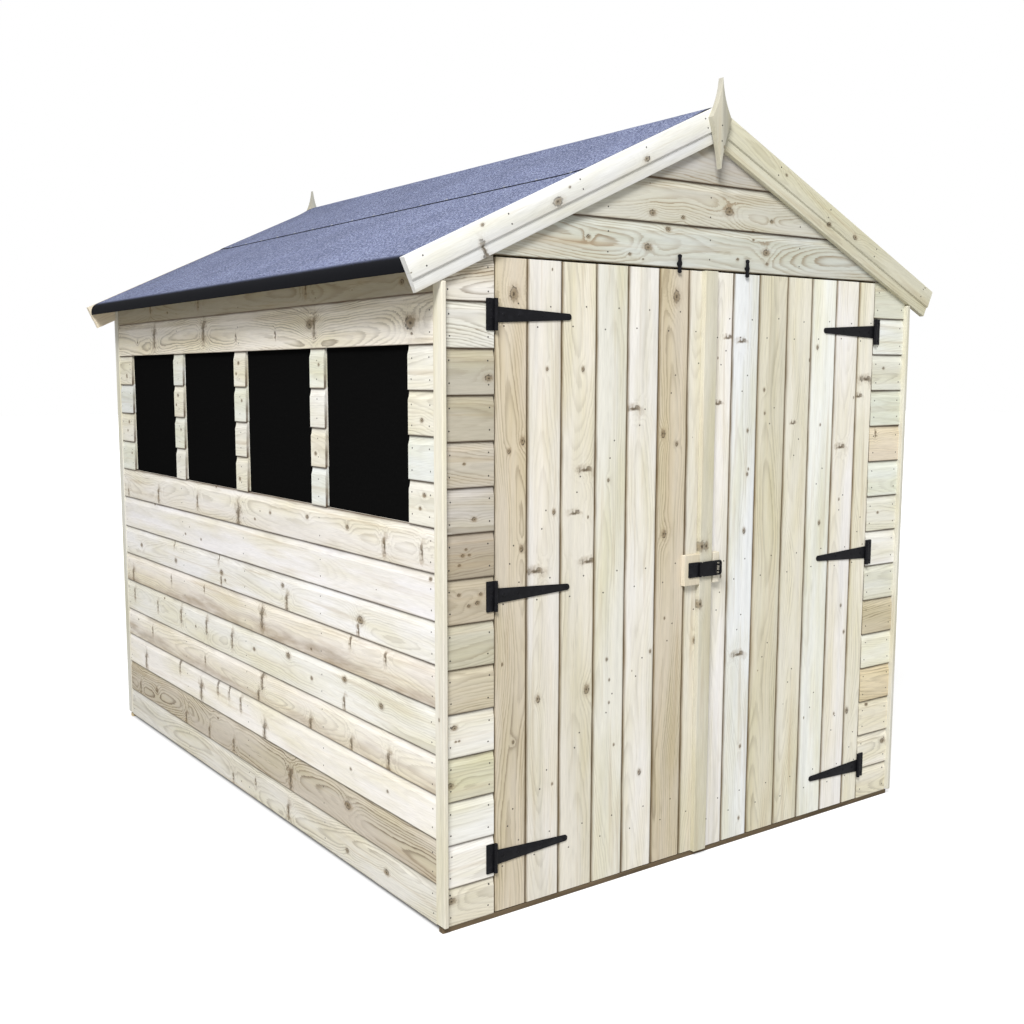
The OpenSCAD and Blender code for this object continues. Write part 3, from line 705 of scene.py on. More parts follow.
@dataclass
class Workshop:
    """Cuts boards, drives nails and presses plates, with one source of chance for the whole shed."""

    paints: Paints
    rng: np.random.Generator = field(default_factory=lambda: np.random.default_rng(SEED))

    def pick(self, length: float, half: float) -> Look:
        """Picks a board from the pile.

        Args:
            length: Length of the board.
            half: Half of its width.

        Returns:
            Its look, with up to two knots.
        """
        color = PILE[int(self.rng.integers(len(PILE)))]
        shown = int(self.rng.random() * (2.6 if length > 0.3 else 1.4))
        knots = tuple(
            Knot(along * length, (across - 0.5) * 1.3 * half, (4.0 + 8.0 * size**2) * MM, bool(kind > 0.6))
            for along, across, size, kind in self.rng.random((2, 4))[:shown]
        )
        return Look(color, 0.2 + 0.6 * float(self.rng.random()), 0.0, knots)

    def stray(self, shape: tuple[int, ...], reach: float = 3 * MM) -> Array:
        """Returns chance offsets of the given shape, up to the reach each way."""
        return self.rng.uniform(-reach, reach, shape)

    def nail_rows(self, lines: Array, bottoms: Sequence[float]) -> tuple[Array, Array]:
        """Places two nails on each board at each nail line, off by up to 3 mm.

        Args:
            lines: Places of the nail lines along the wall.
            bottoms: Heights of the boards' lower edges.

        Returns:
            The nails' places along the wall, and their heights.
        """
        along, height, rise = np.meshgrid(lines, np.asarray(bottoms), vector(27, 80) * MM, indexing="ij")
        shift = self.stray((2, *along.shape))
        return (along + shift[0]).ravel(), (height + rise + shift[1]).ravel()

    def hang(
        self, name: str, stack: Stack, finish: Finish, body: str, *nodes: str, crease: float = 32.0
    ) -> None:
        """Makes a stack into a piece in its finish, and fastens it.

        Args:
            name: Name of the piece.
            stack: Its surfaces.
            finish: Its finish.
            body: The CAD body that it rides on.
            nodes: The CAD nodes that it replaces.
            crease: Angle in degrees above which an edge stays sharp.
        """
        fit(stack.build(name, self.paints.get(finish), crease), finish, body, *nodes)

    def wood(self, look: Look, local: Array, faces: Faces) -> tuple[Values, Values]:
        """Works out a board's attributes.

        At the points, grain is (u, v, w) shifted by a chance length along the grain, tone is the colour and
        habit holds figure and wane. At the faces are the three knots nearest along the grain.

        Args:
            look: The board's look.
            local: Its points along the grain from its start, across from its middle, and deep.
            faces: Its faces.

        Returns:
            The attributes at the points, and those at the faces.
        """
        shift = float(self.rng.random() * 24.0)
        count = len(local)
        rows = [[k.along + shift, k.across, -k.radius if k.spike else k.radius] for k in look.knots]
        knots = np.array(rows + [[0.0, 0.0, 0.0]] * len(KNOT_KEYS))
        middles = np.array([local[face, 0].mean() for face in faces]) + shift
        gap = np.where(knots[None, :, 2] == 0, np.inf, np.abs(knots[None, :, 0] - middles[:, None]))
        nearest = knots[np.argsort(gap, axis=1, kind="stable")[:, : len(KNOT_KEYS)]]
        at_points = {
            "grain": local + vector(shift, 0, 0),
            "tone": np.tile(linear(look.color)[:3], (count, 1)),
            "habit": np.tile(vector(look.figure, look.wane, 0), (count, 1)),
        }
        return at_points, {key: nearest[:, n] for n, key in enumerate(KNOT_KEYS)}

    def board(
        self,
        stack: Stack,
        place: Placement,
        profile: Array,
        start: Array | float,
        end: Array | float,
        look: Look | None = None,
        segments: int = 1,
    ) -> None:
        """Carries a profile along the grain.

        Point (i, k) lies at u = start_k + t_i (end_k - start_k), v = profile_k0, w = profile_k1. The steps
        t_i are even, with one more half way between each two knots.

        Args:
            stack: Where the board goes.
            place: The board's local frame.
            profile: Closed outline in (v, w), (K, 2), or with the painted seam shade at each point, (K, 3).
            start: Where the board starts along u, for all or for each profile point.
            end: Where it ends.
            look: Its look, or None for one from the pile.
            segments: Number of pieces along its length.
        """
        if look is None:
            look = self.pick(float(np.max(end) - np.min(start)), float(np.ptp(profile[:, 0])) / 2)
        count = len(profile)
        # The third column is painted shade in the seams, passed on as an attribute
        grime = profile[:, 2] if profile.shape[1] > 2 else np.zeros(count)
        first, last = np.broadcast_to(start, count), np.broadcast_to(end, count)
        span = float(last.max() - first.min())
        marks = np.sort(np.array([knot.along for knot in look.knots]))
        between = (marks[1:] + marks[:-1])[np.diff(marks) > 0.03] / (2 * span)
        t = np.unique(np.concatenate([np.linspace(0.0, 1.0, segments + 1), between.clip(0, 1)]))[:, None]
        u = first * (1 - t) + last * t
        across = np.broadcast_arrays(profile[:, 0], profile[:, 1] + 0 * u)
        local = np.stack([u, *across], axis=-1).reshape(-1, 3)
        middle = (profile[:, 0].min() + profile[:, 0].max()) / 2
        grain = local - vector(float(u.min()), middle, 0)
        dirt_and_seam_shade = np.zeros_like(local)
        dirt_and_seam_shade[:, 0] = np.tile(grime, len(t))
        faces = tube_faces(len(t), count, signed_area(profile) * place.hand < 0)
        at_points, at_faces = self.wood(look, grain, faces)
        stack.add(place.point(local), faces, {"grime": dirt_and_seam_shade, **at_points}, at_faces)

    def solids(
        self, node: str, finish: Finish, body: str, looks: Sequence[Look] = (), arris: float = 1.4 * MM
    ) -> None:
        """Dresses a node's plain timbers: the same solids with softened edges and grain along each one.

        The grain runs along a timber's longest edge, and v along the wider of the other two directions.

        Args:
            node: The CAD node.
            finish: Its finish.
            body: The CAD body that it rides on.
            looks: Looks for the timbers in order; the rest come from the pile.
            arris: Width of the softened edges.
        """
        source = bmesh.new()
        source.from_mesh(cad_nodes[node].data)
        bmesh.ops.remove_doubles(source, verts=source.verts, dist=1e-5)
        bmesh.ops.dissolve_limit(
            source, angle_limit=math.radians(1.0), verts=source.verts, edges=source.edges
        )
        mesh = bpy.data.meshes.new(node + "_timber")
        source.to_mesh(mesh)
        source.free()
        points = read_points(mesh)
        edges = np.zeros(len(mesh.edges) * 2, dtype=int)
        mesh.edges.foreach_get("vertices", edges)
        edges = edges.reshape(-1, 2)
        labels = island_labels(len(points), edges)
        polygons = [list(polygon.vertices) for polygon in mesh.polygons]
        at_points = {key: np.zeros_like(points) for key in ("grain", "tone", "habit")}
        at_faces = {key: np.zeros((len(polygons), 3)) for key in KNOT_KEYS}
        for number, label in enumerate(np.unique(labels)):
            mine = labels == label
            spans = points[edges[mine[edges[:, 0]], 1]] - points[edges[mine[edges[:, 0]], 0]]
            along = unit(spans[np.argmax(np.linalg.norm(spans, axis=1))])
            rest = spans - np.outer(spans @ along, along)
            over = unit(rest[np.argmax(np.linalg.norm(rest, axis=1))])
            local = (points - points[mine].mean(axis=0)) @ np.stack([along, over, np.cross(along, over)]).T
            local[:, 0] -= local[mine, 0].min()
            look = looks[number] if number < len(looks) else self.pick(float(np.ptp(local[mine, 0])), 0.03)
            own = [n for n, polygon in enumerate(polygons) if mine[polygon[0]]]
            point_values, face_values = self.wood(look, local, [polygons[n] for n in own])
            for key, value in point_values.items():
                at_points[key][mine] = value[mine]
            for key, value in face_values.items():
                at_faces[key][own] = value
        for domain, values in (("POINT", at_points), ("FACE", at_faces)):
            for key, value in values.items():
                mesh.attributes.new(key, "FLOAT_VECTOR", domain).data.foreach_set("vector", value.ravel())
        mesh.polygons.foreach_set("use_smooth", np.zeros(len(mesh.polygons), dtype=bool))
        mesh.materials.append(self.paints.get(finish))
        obj = bpy.data.objects.new(node + "_timber", mesh)
        bpy.context.scene.collection.objects.link(obj)
        bevel = obj.modifiers.new("arris", "BEVEL")
        bevel.width = arris
        bevel.segments = 2
        bevel.limit_method = "ANGLE"
        bevel.angle_limit = math.radians(35)
        bevel.harden_normals = False
        fit(obj, finish, body, node)

    def nails(
        self,
        name: str,
        spots: Array,
        out: Array,
        body: str = "shed",
        finish: Finish = Finish.NAIL,
        radius: float = 2.3 * MM,
    ) -> None:
        """Drives nails: each head is a low dome of three rings of 8 points and a middle point.

        Args:
            name: Name of the piece.
            spots: Where the heads sit, (N, 3).
            out: Directions in which the heads face, (N, 3) or (3,).
            body: The CAD body that they ride on.
            finish: Finish of the heads.
            radius: Radius of a head.
        """
        outward = np.broadcast_to(out, spots.shape)
        side = np.cross(outward, np.where(np.abs(outward[:, 2:3]) > 0.9, X_AXIS, Z_AXIS))
        side /= np.linalg.norm(side, axis=1, keepdims=True)
        up = np.cross(outward, side)
        angle = np.arange(8) * math.pi / 4
        rings = np.array([[1.0, -0.6], [1.0, 0.04], [0.6, 0.16]]) * radius
        ring_points = [
            side[:, None] * np.cos(angle)[None, :, None] * r
            + up[:, None] * np.sin(angle)[None, :, None] * r
            + outward[:, None] * h
            for r, h in rings
        ]
        top = outward[:, None] * (0.2 * radius)
        head = np.concatenate([*ring_points, top], axis=1)
        points = (spots[:, None] + head).reshape(-1, 3)
        k = np.arange(8)
        skirt = np.concatenate(
            [
                np.stack([b + k, b + (k + 1) % 8, b + 8 + (k + 1) % 8, b + 8 + k], axis=-1)
                for b in (0, 8)
            ]
        )
        fan = np.stack([16 + k, 16 + (k + 1) % 8, np.full(8, 24)], axis=-1)
        base = np.arange(len(spots))[:, None, None] * 25
        faces = (skirt + base).reshape(-1, 4).tolist() + (fan + base).reshape(-1, 3).tolist()
        faces += (k[::-1] + base[:, 0]).tolist()
        stack = Stack()
        stack.add(points, faces)
        self.hang(name, stack, finish, body)


def unit(value: Array) -> Array:
    """Returns the vector at length 1."""
    return value / np.linalg.norm(value)


def read_points(mesh: bpy.types.Mesh) -> Array:
    """Returns a mesh's points, (N, 3)."""
    flat = np.zeros(len(mesh.vertices) * 3)
    mesh.vertices.foreach_get("co", flat)
    return flat.reshape(-1, 3)


def island_labels(count: int, edges: Array) -> Array:
    """Labels the connected parts of a mesh.

    Each point starts with its own number, and takes the lowest number along its edges until none changes.

    Args:
        count: Number of points.
        edges: Pairs of point numbers, (M, 2).

    Returns:
        A label for each point.
    """
    labels = np.arange(count)
    while True:
        low = labels[edges].min(axis=1)
        following = labels.copy()
        np.minimum.at(following, edges[:, 0], low)
        np.minimum.at(following, edges[:, 1], low)
        if np.array_equal(following, labels):
            return labels
        labels = following


cad_nodes: dict[str, bpy.types.Object] = {}


def fit(obj: bpy.types.Object, finish: Finish, body: str, *nodes: str) -> None:
    """Fastens a piece to its body and hides the nodes that it replaces.

    Args:
        obj: The piece.
        finish: Not used.
        body: The CAD body that it rides on.
        nodes: The CAD nodes that it replaces.
    """
    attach(obj, body)
    if nodes:
        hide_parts(*nodes)
    LOG.info("%s rides on %s with %d points", obj.name, body, len(obj.data.vertices))


def rounded(outline: Array, radius: float, steps: int = 3) -> Array:
    """Rounds the corners of a convex outline.

    Each corner is replaced by points of the quadratic curve between its two neighbours at the given distance.

    Args:
        outline: Corners, (K, 2).
        radius: Distance from a corner to the ends of its curve.
        steps: Number of pieces in each curve.

    Returns:
        The rounded outline.
    """
    before = np.roll(outline, 1, axis=0) - outline
    after = np.roll(outline, -1, axis=0) - outline
    a = outline + before / np.linalg.norm(before, axis=1, keepdims=True) * radius
    b = outline + after / np.linalg.norm(after, axis=1, keepdims=True) * radius
    t = np.linspace(0, 1, steps + 1)[None, :, None]
    curve = a[:, None] * (1 - t) ** 2 + outline[:, None] * 2 * t * (1 - t) + b[:, None] * t**2
    return curve.reshape(-1, 2)


def inset(outline: Array, distance: float) -> Array:
    """Moves each point of an anticlockwise outline inwards along the mean normal of its two sides."""
    ahead = np.roll(outline, -1, axis=0) - outline
    behind = outline - np.roll(outline, 1, axis=0)
    normal = np.stack([-(ahead + behind)[:, 1], (ahead + behind)[:, 0]], axis=1)
    return outline + distance * normal / np.linalg.norm(normal, axis=1, keepdims=True)


def plate(stack: Stack, place: Placement, outline: Array, thickness: float, chamfer: float) -> None:
    """Presses a plate: an outline in (u, v) carried along w, with a softened front edge.

    Ring j holds the outline moved inwards by c_j at depth w_j, for the back, the shoulder and the front.

    Args:
        stack: Where the plate goes.
        place: Its local frame; w points out of the front.
        outline: Closed outline, (K, 2).
        thickness: Height of the front above w = 0.
        chamfer: Width of the softened edge.
    """
    if signed_area(outline) < 0:
        outline = outline[::-1]
    soft = 0.3 * chamfer
    rings = [(0.0, 0.0), (0.0, thickness - chamfer), (soft, thickness - soft), (chamfer, thickness)]
    local = np.concatenate(
        [np.column_stack([inset(outline, c), np.full(len(outline), w)]) for c, w in rings]
    )
    stack.add(place.point(local), tube_faces(len(rings), len(outline), place.hand < 0))


def lathe(stack: Stack, place: Placement, profile: Array, around: int = 20) -> None:
    """Turns a profile of (radius, height) about the local w axis.

    Point (i, k) lies at radius r_i and angle 2 pi k / around, at height h_i.

    Args:
        stack: Where the turned piece goes.
        place: Its local frame.
        profile: Radii and heights from bottom to top, (M, 2).
        around: Points in each ring.
    """
    angle = 2 * math.pi * np.arange(around) / around
    r, h = profile[:, :1], profile[:, 1:]
    local = np.stack([r * np.cos(angle), r * np.sin(angle), h + 0 * angle], axis=-1).reshape(-1, 3)
    stack.add(place.point(local), tube_faces(len(profile), around, place.hand < 0))


def rod(stack: Stack, path: Array, radius: float, around: int = 12) -> None:
    """Bends a round bar along a path.

    Ring i is a circle around path point i, square to the mean direction of the two pieces that meet there.

    Args:
        stack: Where the bar goes.
        path: Points of the middle line, (N, 3), in one plane.
        radius: Radius of the bar.
        around: Points in each ring.
    """
    along = np.gradient(path, axis=0)
    along /= np.linalg.norm(along, axis=1, keepdims=True)
    flat = unit(np.cross(path[1] - path[0], path[len(path) // 2] - path[0]))
    normal = np.cross(along, flat)
    angle = 2 * math.pi * np.arange(around) / around
    ring = normal[:, None] * np.cos(angle)[:, None] + flat * np.sin(angle)[:, None]
    points = (path[:, None] + radius * ring).reshape(-1, 3)
    turned = np.dot(np.cross(normal[0], flat), along[0]) < 0
    stack.add(points, tube_faces(len(path), around, bool(turned)))


def pan_head(stack: Stack, spot: Array, out: Array, radius: float, rise: float) -> None:
    """Adds a round screw head with a cross recess.

    The dome has height rise (1 - (r / R)^2) over a short wall, and sinks by a fifth of its radius where
    the angle is near a quarter turn and r is under half of R, which draws the cross.

    Args:
        stack: Where the head goes.
        spot: Middle of its foot.
        out: Direction in which it faces.
        radius: Its radius.
        rise: Height of the dome.
    """
    side = unit(np.cross(out, Z_AXIS if abs(out[2]) < 0.9 else X_AXIS))
    place = Placement(spot, side, np.cross(out, side), out)
    r = vector(1, 1, 0.92, 0.75, 0.56, 0.5, 0.25, 0.04)[:, None] * radius
    angle = 2 * math.pi * np.arange(24) / 24
    wall = vector(-0.6, 0.15, 0.35, 0.62, 0.82, 0.85, 0.95, 1.0)[:, None] * rise
    cross = (np.abs(np.mod(angle + math.pi / 4, math.pi / 2) - math.pi / 4) < 0.2) & (r < 0.54 * radius)
    h = np.where(cross, wall - 0.45 * rise, wall + 0 * angle)
    local = np.stack([r * np.cos(angle), r * np.sin(angle), h], axis=-1).reshape(-1, 3)
    stack.add(place.point(local), tube_faces(len(r), 24, place.hand < 0))


def slope_axes(sign: float) -> tuple[Array, Array]:
    """Returns the directions down a roof slope and out of it, with a sign of -1 for the left slope."""
    return vector(sign * PITCH_COS, 0, -PITCH_SIN), vector(sign * PITCH_SIN, 0, PITCH_COS)


def front_frame(x: float, y: float, z: float) -> Placement:
    """Returns the frame of a fitting on the door front: u to the right, v up and w out of the front."""
    return Placement(vector(x, y, z), X_AXIS, Z_AXIS, -Y_AXIS)


# --- Floor, walls and framing -------------------------------------------------------------------


@dataclass
class Shiplap:
    """Moulded wall boards: a flat face with a scooped top edge, each board lapped over the one below."""

    shop: Workshop
    thickness: float = 12 * MM
    scoop_height: float = 24 * MM
    scoop_depth: float = 4.4 * MM
    slot: float = 2.0 * MM
    tongue: float = 3.8 * MM
    lip: float = 1.2 * MM

    def profile(self, bottom: float, top: float, scooped: bool = True, tongued: bool = True) -> Array:
        """Works out a board's outline in (height, depth).

        Over the scoop the depth is D (1 - (1 - t)^2) for t from 0 to 1 up its height. The lower edge is
        rounded, and the back of it is rebated over the tongue of the board below.

        Args:
            bottom: Height of the lower edge.
            top: Height of the seam above.
            scooped: Whether the top edge is scooped.
            tongued: Whether the board goes on behind the one above.

        Returns:
            The closed outline with the painted shade at each point, (K, 3).
        """
        t = np.linspace(0.12, 1.0, 7)
        face_top = top - self.scoop_height if scooped else top
        face = np.linspace(bottom + self.lip + 3 * MM, max(face_top, bottom + 5 * self.lip), 6)
        front = np.column_stack([face, 0 * face, 0 * face])
        # Painted shade on the face's top, just below the scoop
        if scooped:
            front[-1, 2] = 0.22
            front = np.insert(front, -1, [front[-1, 0] - 2.5 * MM, 0.0, 0.0], axis=0)
        lip, back = self.lip, self.scoop_depth
        # Painted shade under the rounded lower edge, darkest beneath it where it laps the board below
        foot = np.array(
            [[bottom + self.tongue, back, 1.0], [bottom, back, 1.0], [bottom, lip, 1.0],
             [bottom + 0.3 * lip, 0.3 * lip, 0.8], [bottom + lip, 0.0, 0.45]]
        )
        rise, sink = t * (self.scoop_height - self.slot), self.scoop_depth * (1 - (1 - t) ** 2)
        # Painted shade over the scoop, which the lamp lights from above, deepest in the slot under the board
        # above
        scoop = np.column_stack([face_top + rise, sink, 0.08 + 0.7 * t**8])
        peak = top + self.tongue - 0.2 * MM if tongued else top
        head = np.array([[peak, self.scoop_depth + 0.1 * MM, 1.0], [peak, self.thickness, 0.0]])
        if not scooped:
            scoop, head = np.zeros((0, 3)), np.array([[top, self.thickness, 0.0]])
        heel = np.array([[bottom + self.tongue, self.thickness, 0.0]])
        return np.concatenate([foot, front, scoop, head, heel])

    def courses(
        self,
        stack: Stack,
        place: Placement,
        seams: Sequence[float],
        start: float,
        end: float,
        open_top: bool = False,
        ragged: float = 0.0,
        looks: Sequence[Look] = (),
    ) -> None:
        """Lays courses of boards between level seams.

        Args:
            stack: Where the boards go.
            place: Frame with u along the wall, v up from the ground and w into the wall.
            seams: Heights of the seams, from the lowest edge to the top.
            start: Where the boards start along the wall.
            end: Where they end.
            open_top: Whether the last board ends in its scoop, with nothing above it.
            ragged: How unevenly the ends are cut.
            looks: Looks of the courses from the bottom; the rest come from the pile.
        """
        last = len(seams) - 2
        for row, (low, high) in enumerate(zip(seams[:-1], seams[1:])):
            cut = self.shop.rng.uniform(-ragged, ragged, 2)
            profile = self.profile(low, high, row < last or open_top, row < last)
            look = looks[row] if row < len(looks) else None
            self.shop.board(stack, place, profile, start + cut[0], end + cut[1], look, 8)

    def gable(
        self,
        stack: Stack,
        place: Placement,
        seams: Sequence[float],
        half: float,
        apex: float,
        looks: Sequence[Look] = (),
    ) -> None:
        """Lays courses whose ends follow the roof.

        A point at height z ends at plus or minus the lower of half and (apex - z) / tan(pitch).

        Args:
            stack: Where the boards go.
            place: Frame with u along the wall, v up from the ground and w into the wall.
            seams: Heights of the seams, from the lowest edge up; the last board ends at the apex.
            half: Half of the wall's width between its trims.
            apex: Height at which the two slopes meet.
            looks: Looks of the courses from the bottom; the rest come from the pile.
        """
        heights = [*seams, apex]
        for row, (low, high) in enumerate(zip(heights[:-1], heights[1:])):
            profile = self.profile(low, high, high < apex - 0.05, high < apex - 0.05)
            reach = np.minimum(half, np.maximum(apex - profile[:, 0], 0.0) / PITCH_TAN)
            reach = np.maximum(reach, 0.2 * MM)
            look = looks[row] if row < len(looks) else None
            self.shop.board(stack, place, profile, -reach, reach, look, 8)


def courses_up(start: float, first: float, step: float, top: float) -> list[float]:
    """Lists seam heights: the start, then the first seam and every step above it, up to the top."""
    count = int((top - first - 0.4 * step) / step) + 1
    return [start, *(first + step * np.arange(count)), top]


@dataclass
class FrontWall:
    """The door front: a stub of wall on each side of the doorway, and the gable above it."""

    shop: Workshop
    first_seam: float = 117 * MM
    cover: float = 115.4 * MM
    gable_seams: tuple[float, ...] = (1733 * MM, 1850.5 * MM, 1970 * MM)
    nail_inset: float = 16 * MM
    nail_rises: tuple[float, float] = (27 * MM, 84 * MM)
    gable_nails: tuple[float, ...] = (-0.75, -0.38, 0.0, 0.38, 0.75)

    def build(self) -> None:
        """Builds the stubs, the gable and their nails."""
        lap = Shiplap(self.shop)
        spots = []
        for side, looks in (("left", LEFT_STUB_LOOKS), ("right", RIGHT_STUB_LOOKS)):
            node = "front_stub_" + side
            lo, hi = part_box(node)
            place = Placement(vector(0, lo[1], 0), X_AXIS, Z_AXIS, Y_AXIS)
            seams = courses_up(lo[2], self.first_seam, self.cover, hi[2])
            stack = Stack()
            lap.courses(stack, place, seams, lo[0], hi[0], open_top=True, looks=looks)
            self.shop.hang(node + "_boards", stack, Finish.WALL, "shed", node)
            rows = np.array(seams[:-1])
            for x in (lo[0] + self.nail_inset, hi[0] - self.nail_inset):
                for rise in self.nail_rises:
                    shift = self.shop.stray((len(rows), 2))
                    height = rows + rise + shift[:, 1]
                    spots.append(np.column_stack([x + shift[:, 0], 0 * rows + lo[1], height]))
        lo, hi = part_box("front_gable")
        place = Placement(vector(0, lo[1], 0), X_AXIS, Z_AXIS, Y_AXIS)
        stack = Stack()
        lap.gable(stack, place, self.gable_seams, hi[0], hi[2], GABLE_LOOKS)
        self.shop.hang("front_gable_boards", stack, Finish.GABLE, "shed", "front_gable")
        for low in self.gable_seams[:2]:
            room = (hi[2] - low - 0.1) / PITCH_TAN
            for x in self.gable_nails:
                if abs(x) < room:
                    spots.append(vector(x, lo[1], low + 28 * MM)[None])
                    spots.append(vector(x + 1 * MM, lo[1], low + 82 * MM)[None])
        self.shop.nails("front_wall_nails", np.concatenate(spots), -Y_AXIS)


@dataclass
class SideWalls:
    """Both side walls; the left one is cut by a row of windows, with short boards between them."""

    shop: Workshop
    low_seams: tuple[float, ...] = (0.014, 0.125, 0.246, 0.364, 0.472, 0.594, 0.707, 0.819, 0.941, 1.056)
    high_seam: float = 1.637
    first_seam: float = 129 * MM
    cover: float = 115 * MM
    pier_rows: int = 4
    end_inset: float = 20 * MM

    def build(self) -> None:
        """Builds the boards and nails of both walls."""
        lap = Shiplap(self.shop)
        lo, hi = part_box("left_wall_lower")
        place = Placement(vector(lo[0], 0, 0), Y_AXIS, Z_AXIS, X_AXIS)
        stack = Stack()
        lap.courses(stack, place, self.low_seams, lo[1], hi[1], open_top=True, looks=LEFT_WALL_LOOKS)
        self.shop.hang("left_wall_lower_boards", stack, Finish.WALL, "shed", "left_wall_lower")
        lines = self.left_lines(lo[1], hi[1])
        spots = [self.rows(lo[0], self.low_seams[:-1], lines)]
        lo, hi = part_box("left_wall_upper")
        stack = Stack()
        lap.courses(stack, place, (lo[2], self.high_seam, hi[2]), lo[1], hi[1], looks=HEADER_LOOKS)
        self.shop.hang("left_wall_upper_boards", stack, Finish.WALL, "shed", "left_wall_upper")
        lines = self.left_lines(lo[1], hi[1])
        spots.append(self.rows(lo[0], (lo[2], self.high_seam - 10 * MM), lines))
        spots.append(self.piers(lap, place))
        self.shop.nails("left_wall_nails", np.concatenate(spots), -X_AXIS)

        lo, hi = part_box("right_wall")
        place = Placement(vector(hi[0], 0, 0), Y_AXIS, Z_AXIS, -X_AXIS)
        seams = courses_up(lo[2], self.first_seam, self.cover, hi[2])
        stack = Stack()
        lap.courses(stack, place, seams, lo[1], hi[1])
        self.shop.hang("right_wall_boards", stack, Finish.WALL, "shed", "right_wall")
        lines = np.linspace(lo[1] + self.end_inset, hi[1] - self.end_inset, 4)
        self.shop.nails("right_wall_nails", self.rows(hi[0], seams[:-1], lines), X_AXIS)

    def left_lines(self, start: float, end: float) -> Array:
        """Returns where the nail rows of the left wall stand: at its ends and behind each pier."""
        middles = [(a + b) / 2 for a, b in self.pier_spans()[1:-1]]
        return np.array([start + self.end_inset, *middles, end - self.end_inset])

    def pier_spans(self) -> list[tuple[float, float]]:
        """Returns the start and end along the wall of each short stretch beside a window."""
        points = read_points(cad_nodes["left_window_piers"].data)
        ys = np.unique(np.round(points[:, 1], 5))
        return [(float(a), float(b)) for a, b in ys.reshape(-1, 2)]

    def rows(self, x: float, bottoms: Sequence[float], lines: Array) -> Array:
        """Returns the nails' places, (N, 3), on a wall whose face lies at x."""
        y, z = self.shop.nail_rows(lines, bottoms)
        return np.stack([0 * y + x, y, z], axis=-1)

    def piers(self, lap: Shiplap, place: Placement) -> Array:
        """Builds the short boards beside the windows.

        Args:
            lap: The board maker.
            place: Frame of the left wall.

        Returns:
            The places of their nails.
        """
        lo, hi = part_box("left_window_piers")
        seams = list(np.linspace(lo[2], hi[2], self.pier_rows + 1))
        stack = Stack()
        spots = []
        spans = self.pier_spans()
        for number, (start, end) in enumerate(spans):
            looks = PIER_LOOKS[number:] + PIER_LOOKS[:number]
            lap.courses(stack, place, seams, start, end, open_top=True, ragged=1.6 * MM, looks=looks)
            wide = number in (0, len(spans) - 1)
            lines = vector(start + 22 * MM, end - 18 * MM) if wide else vector((start + end) / 2)
            spots.append(self.rows(lo[0], seams[:-1], lines))
        self.shop.hang("left_window_pier_boards", stack, Finish.WALL, "shed", "left_window_piers")
        return np.concatenate(spots)


@dataclass
class BackWall:
    """The back wall and its gable, boarded in one from corner to corner."""

    shop: Workshop
    first_seam: float = 129 * MM
    cover: float = 115 * MM
    nail_lines: tuple[float, ...] = (-0.868, -0.29, 0.29, 0.868)

    def build(self) -> None:
        """Builds the boards and nails."""
        lo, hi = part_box("back_wall")
        place = Placement(vector(0, hi[1], 0), X_AXIS, Z_AXIS, -Y_AXIS)
        seams = courses_up(lo[2], self.first_seam, self.cover, hi[2])[:-1]
        stack = Stack()
        Shiplap(self.shop).gable(stack, place, seams, hi[0], hi[2])
        self.shop.hang("back_wall_boards", stack, Finish.WALL, "shed", "back_wall")
        x, z = self.shop.nail_rows(vector(*self.nail_lines), seams[:-1])
        room = (hi[2] - z - 0.03) / PITCH_TAN
        spots = np.stack([x, 0 * x + hi[1], z], axis=-1)
        self.shop.nails("back_wall_nails", spots[np.abs(x) < room], Y_AXIS)


@dataclass
class Timbers:
    """The plain timbers: floor bearers, framing, battens and corner trims."""

    shop: Workshop
    framing: tuple[str, ...] = (
        "floor_bearers", "side_wall_rails", "side_wall_studs", "end_wall_rails", "end_wall_studs",
        "gable_rafters", "roof_purlins", "eaves_battens",
    )

    def build(self) -> None:
        """Dresses each node's timbers."""
        for node in self.framing:
            looks = BEARER_LOOKS if node == "floor_bearers" else ()
            self.shop.solids(node, Finish.FRAME, "shed", looks)
        self.shop.solids("corner_trims", Finish.TRIM, "shed", CORNER_LOOKS, 2 * MM)


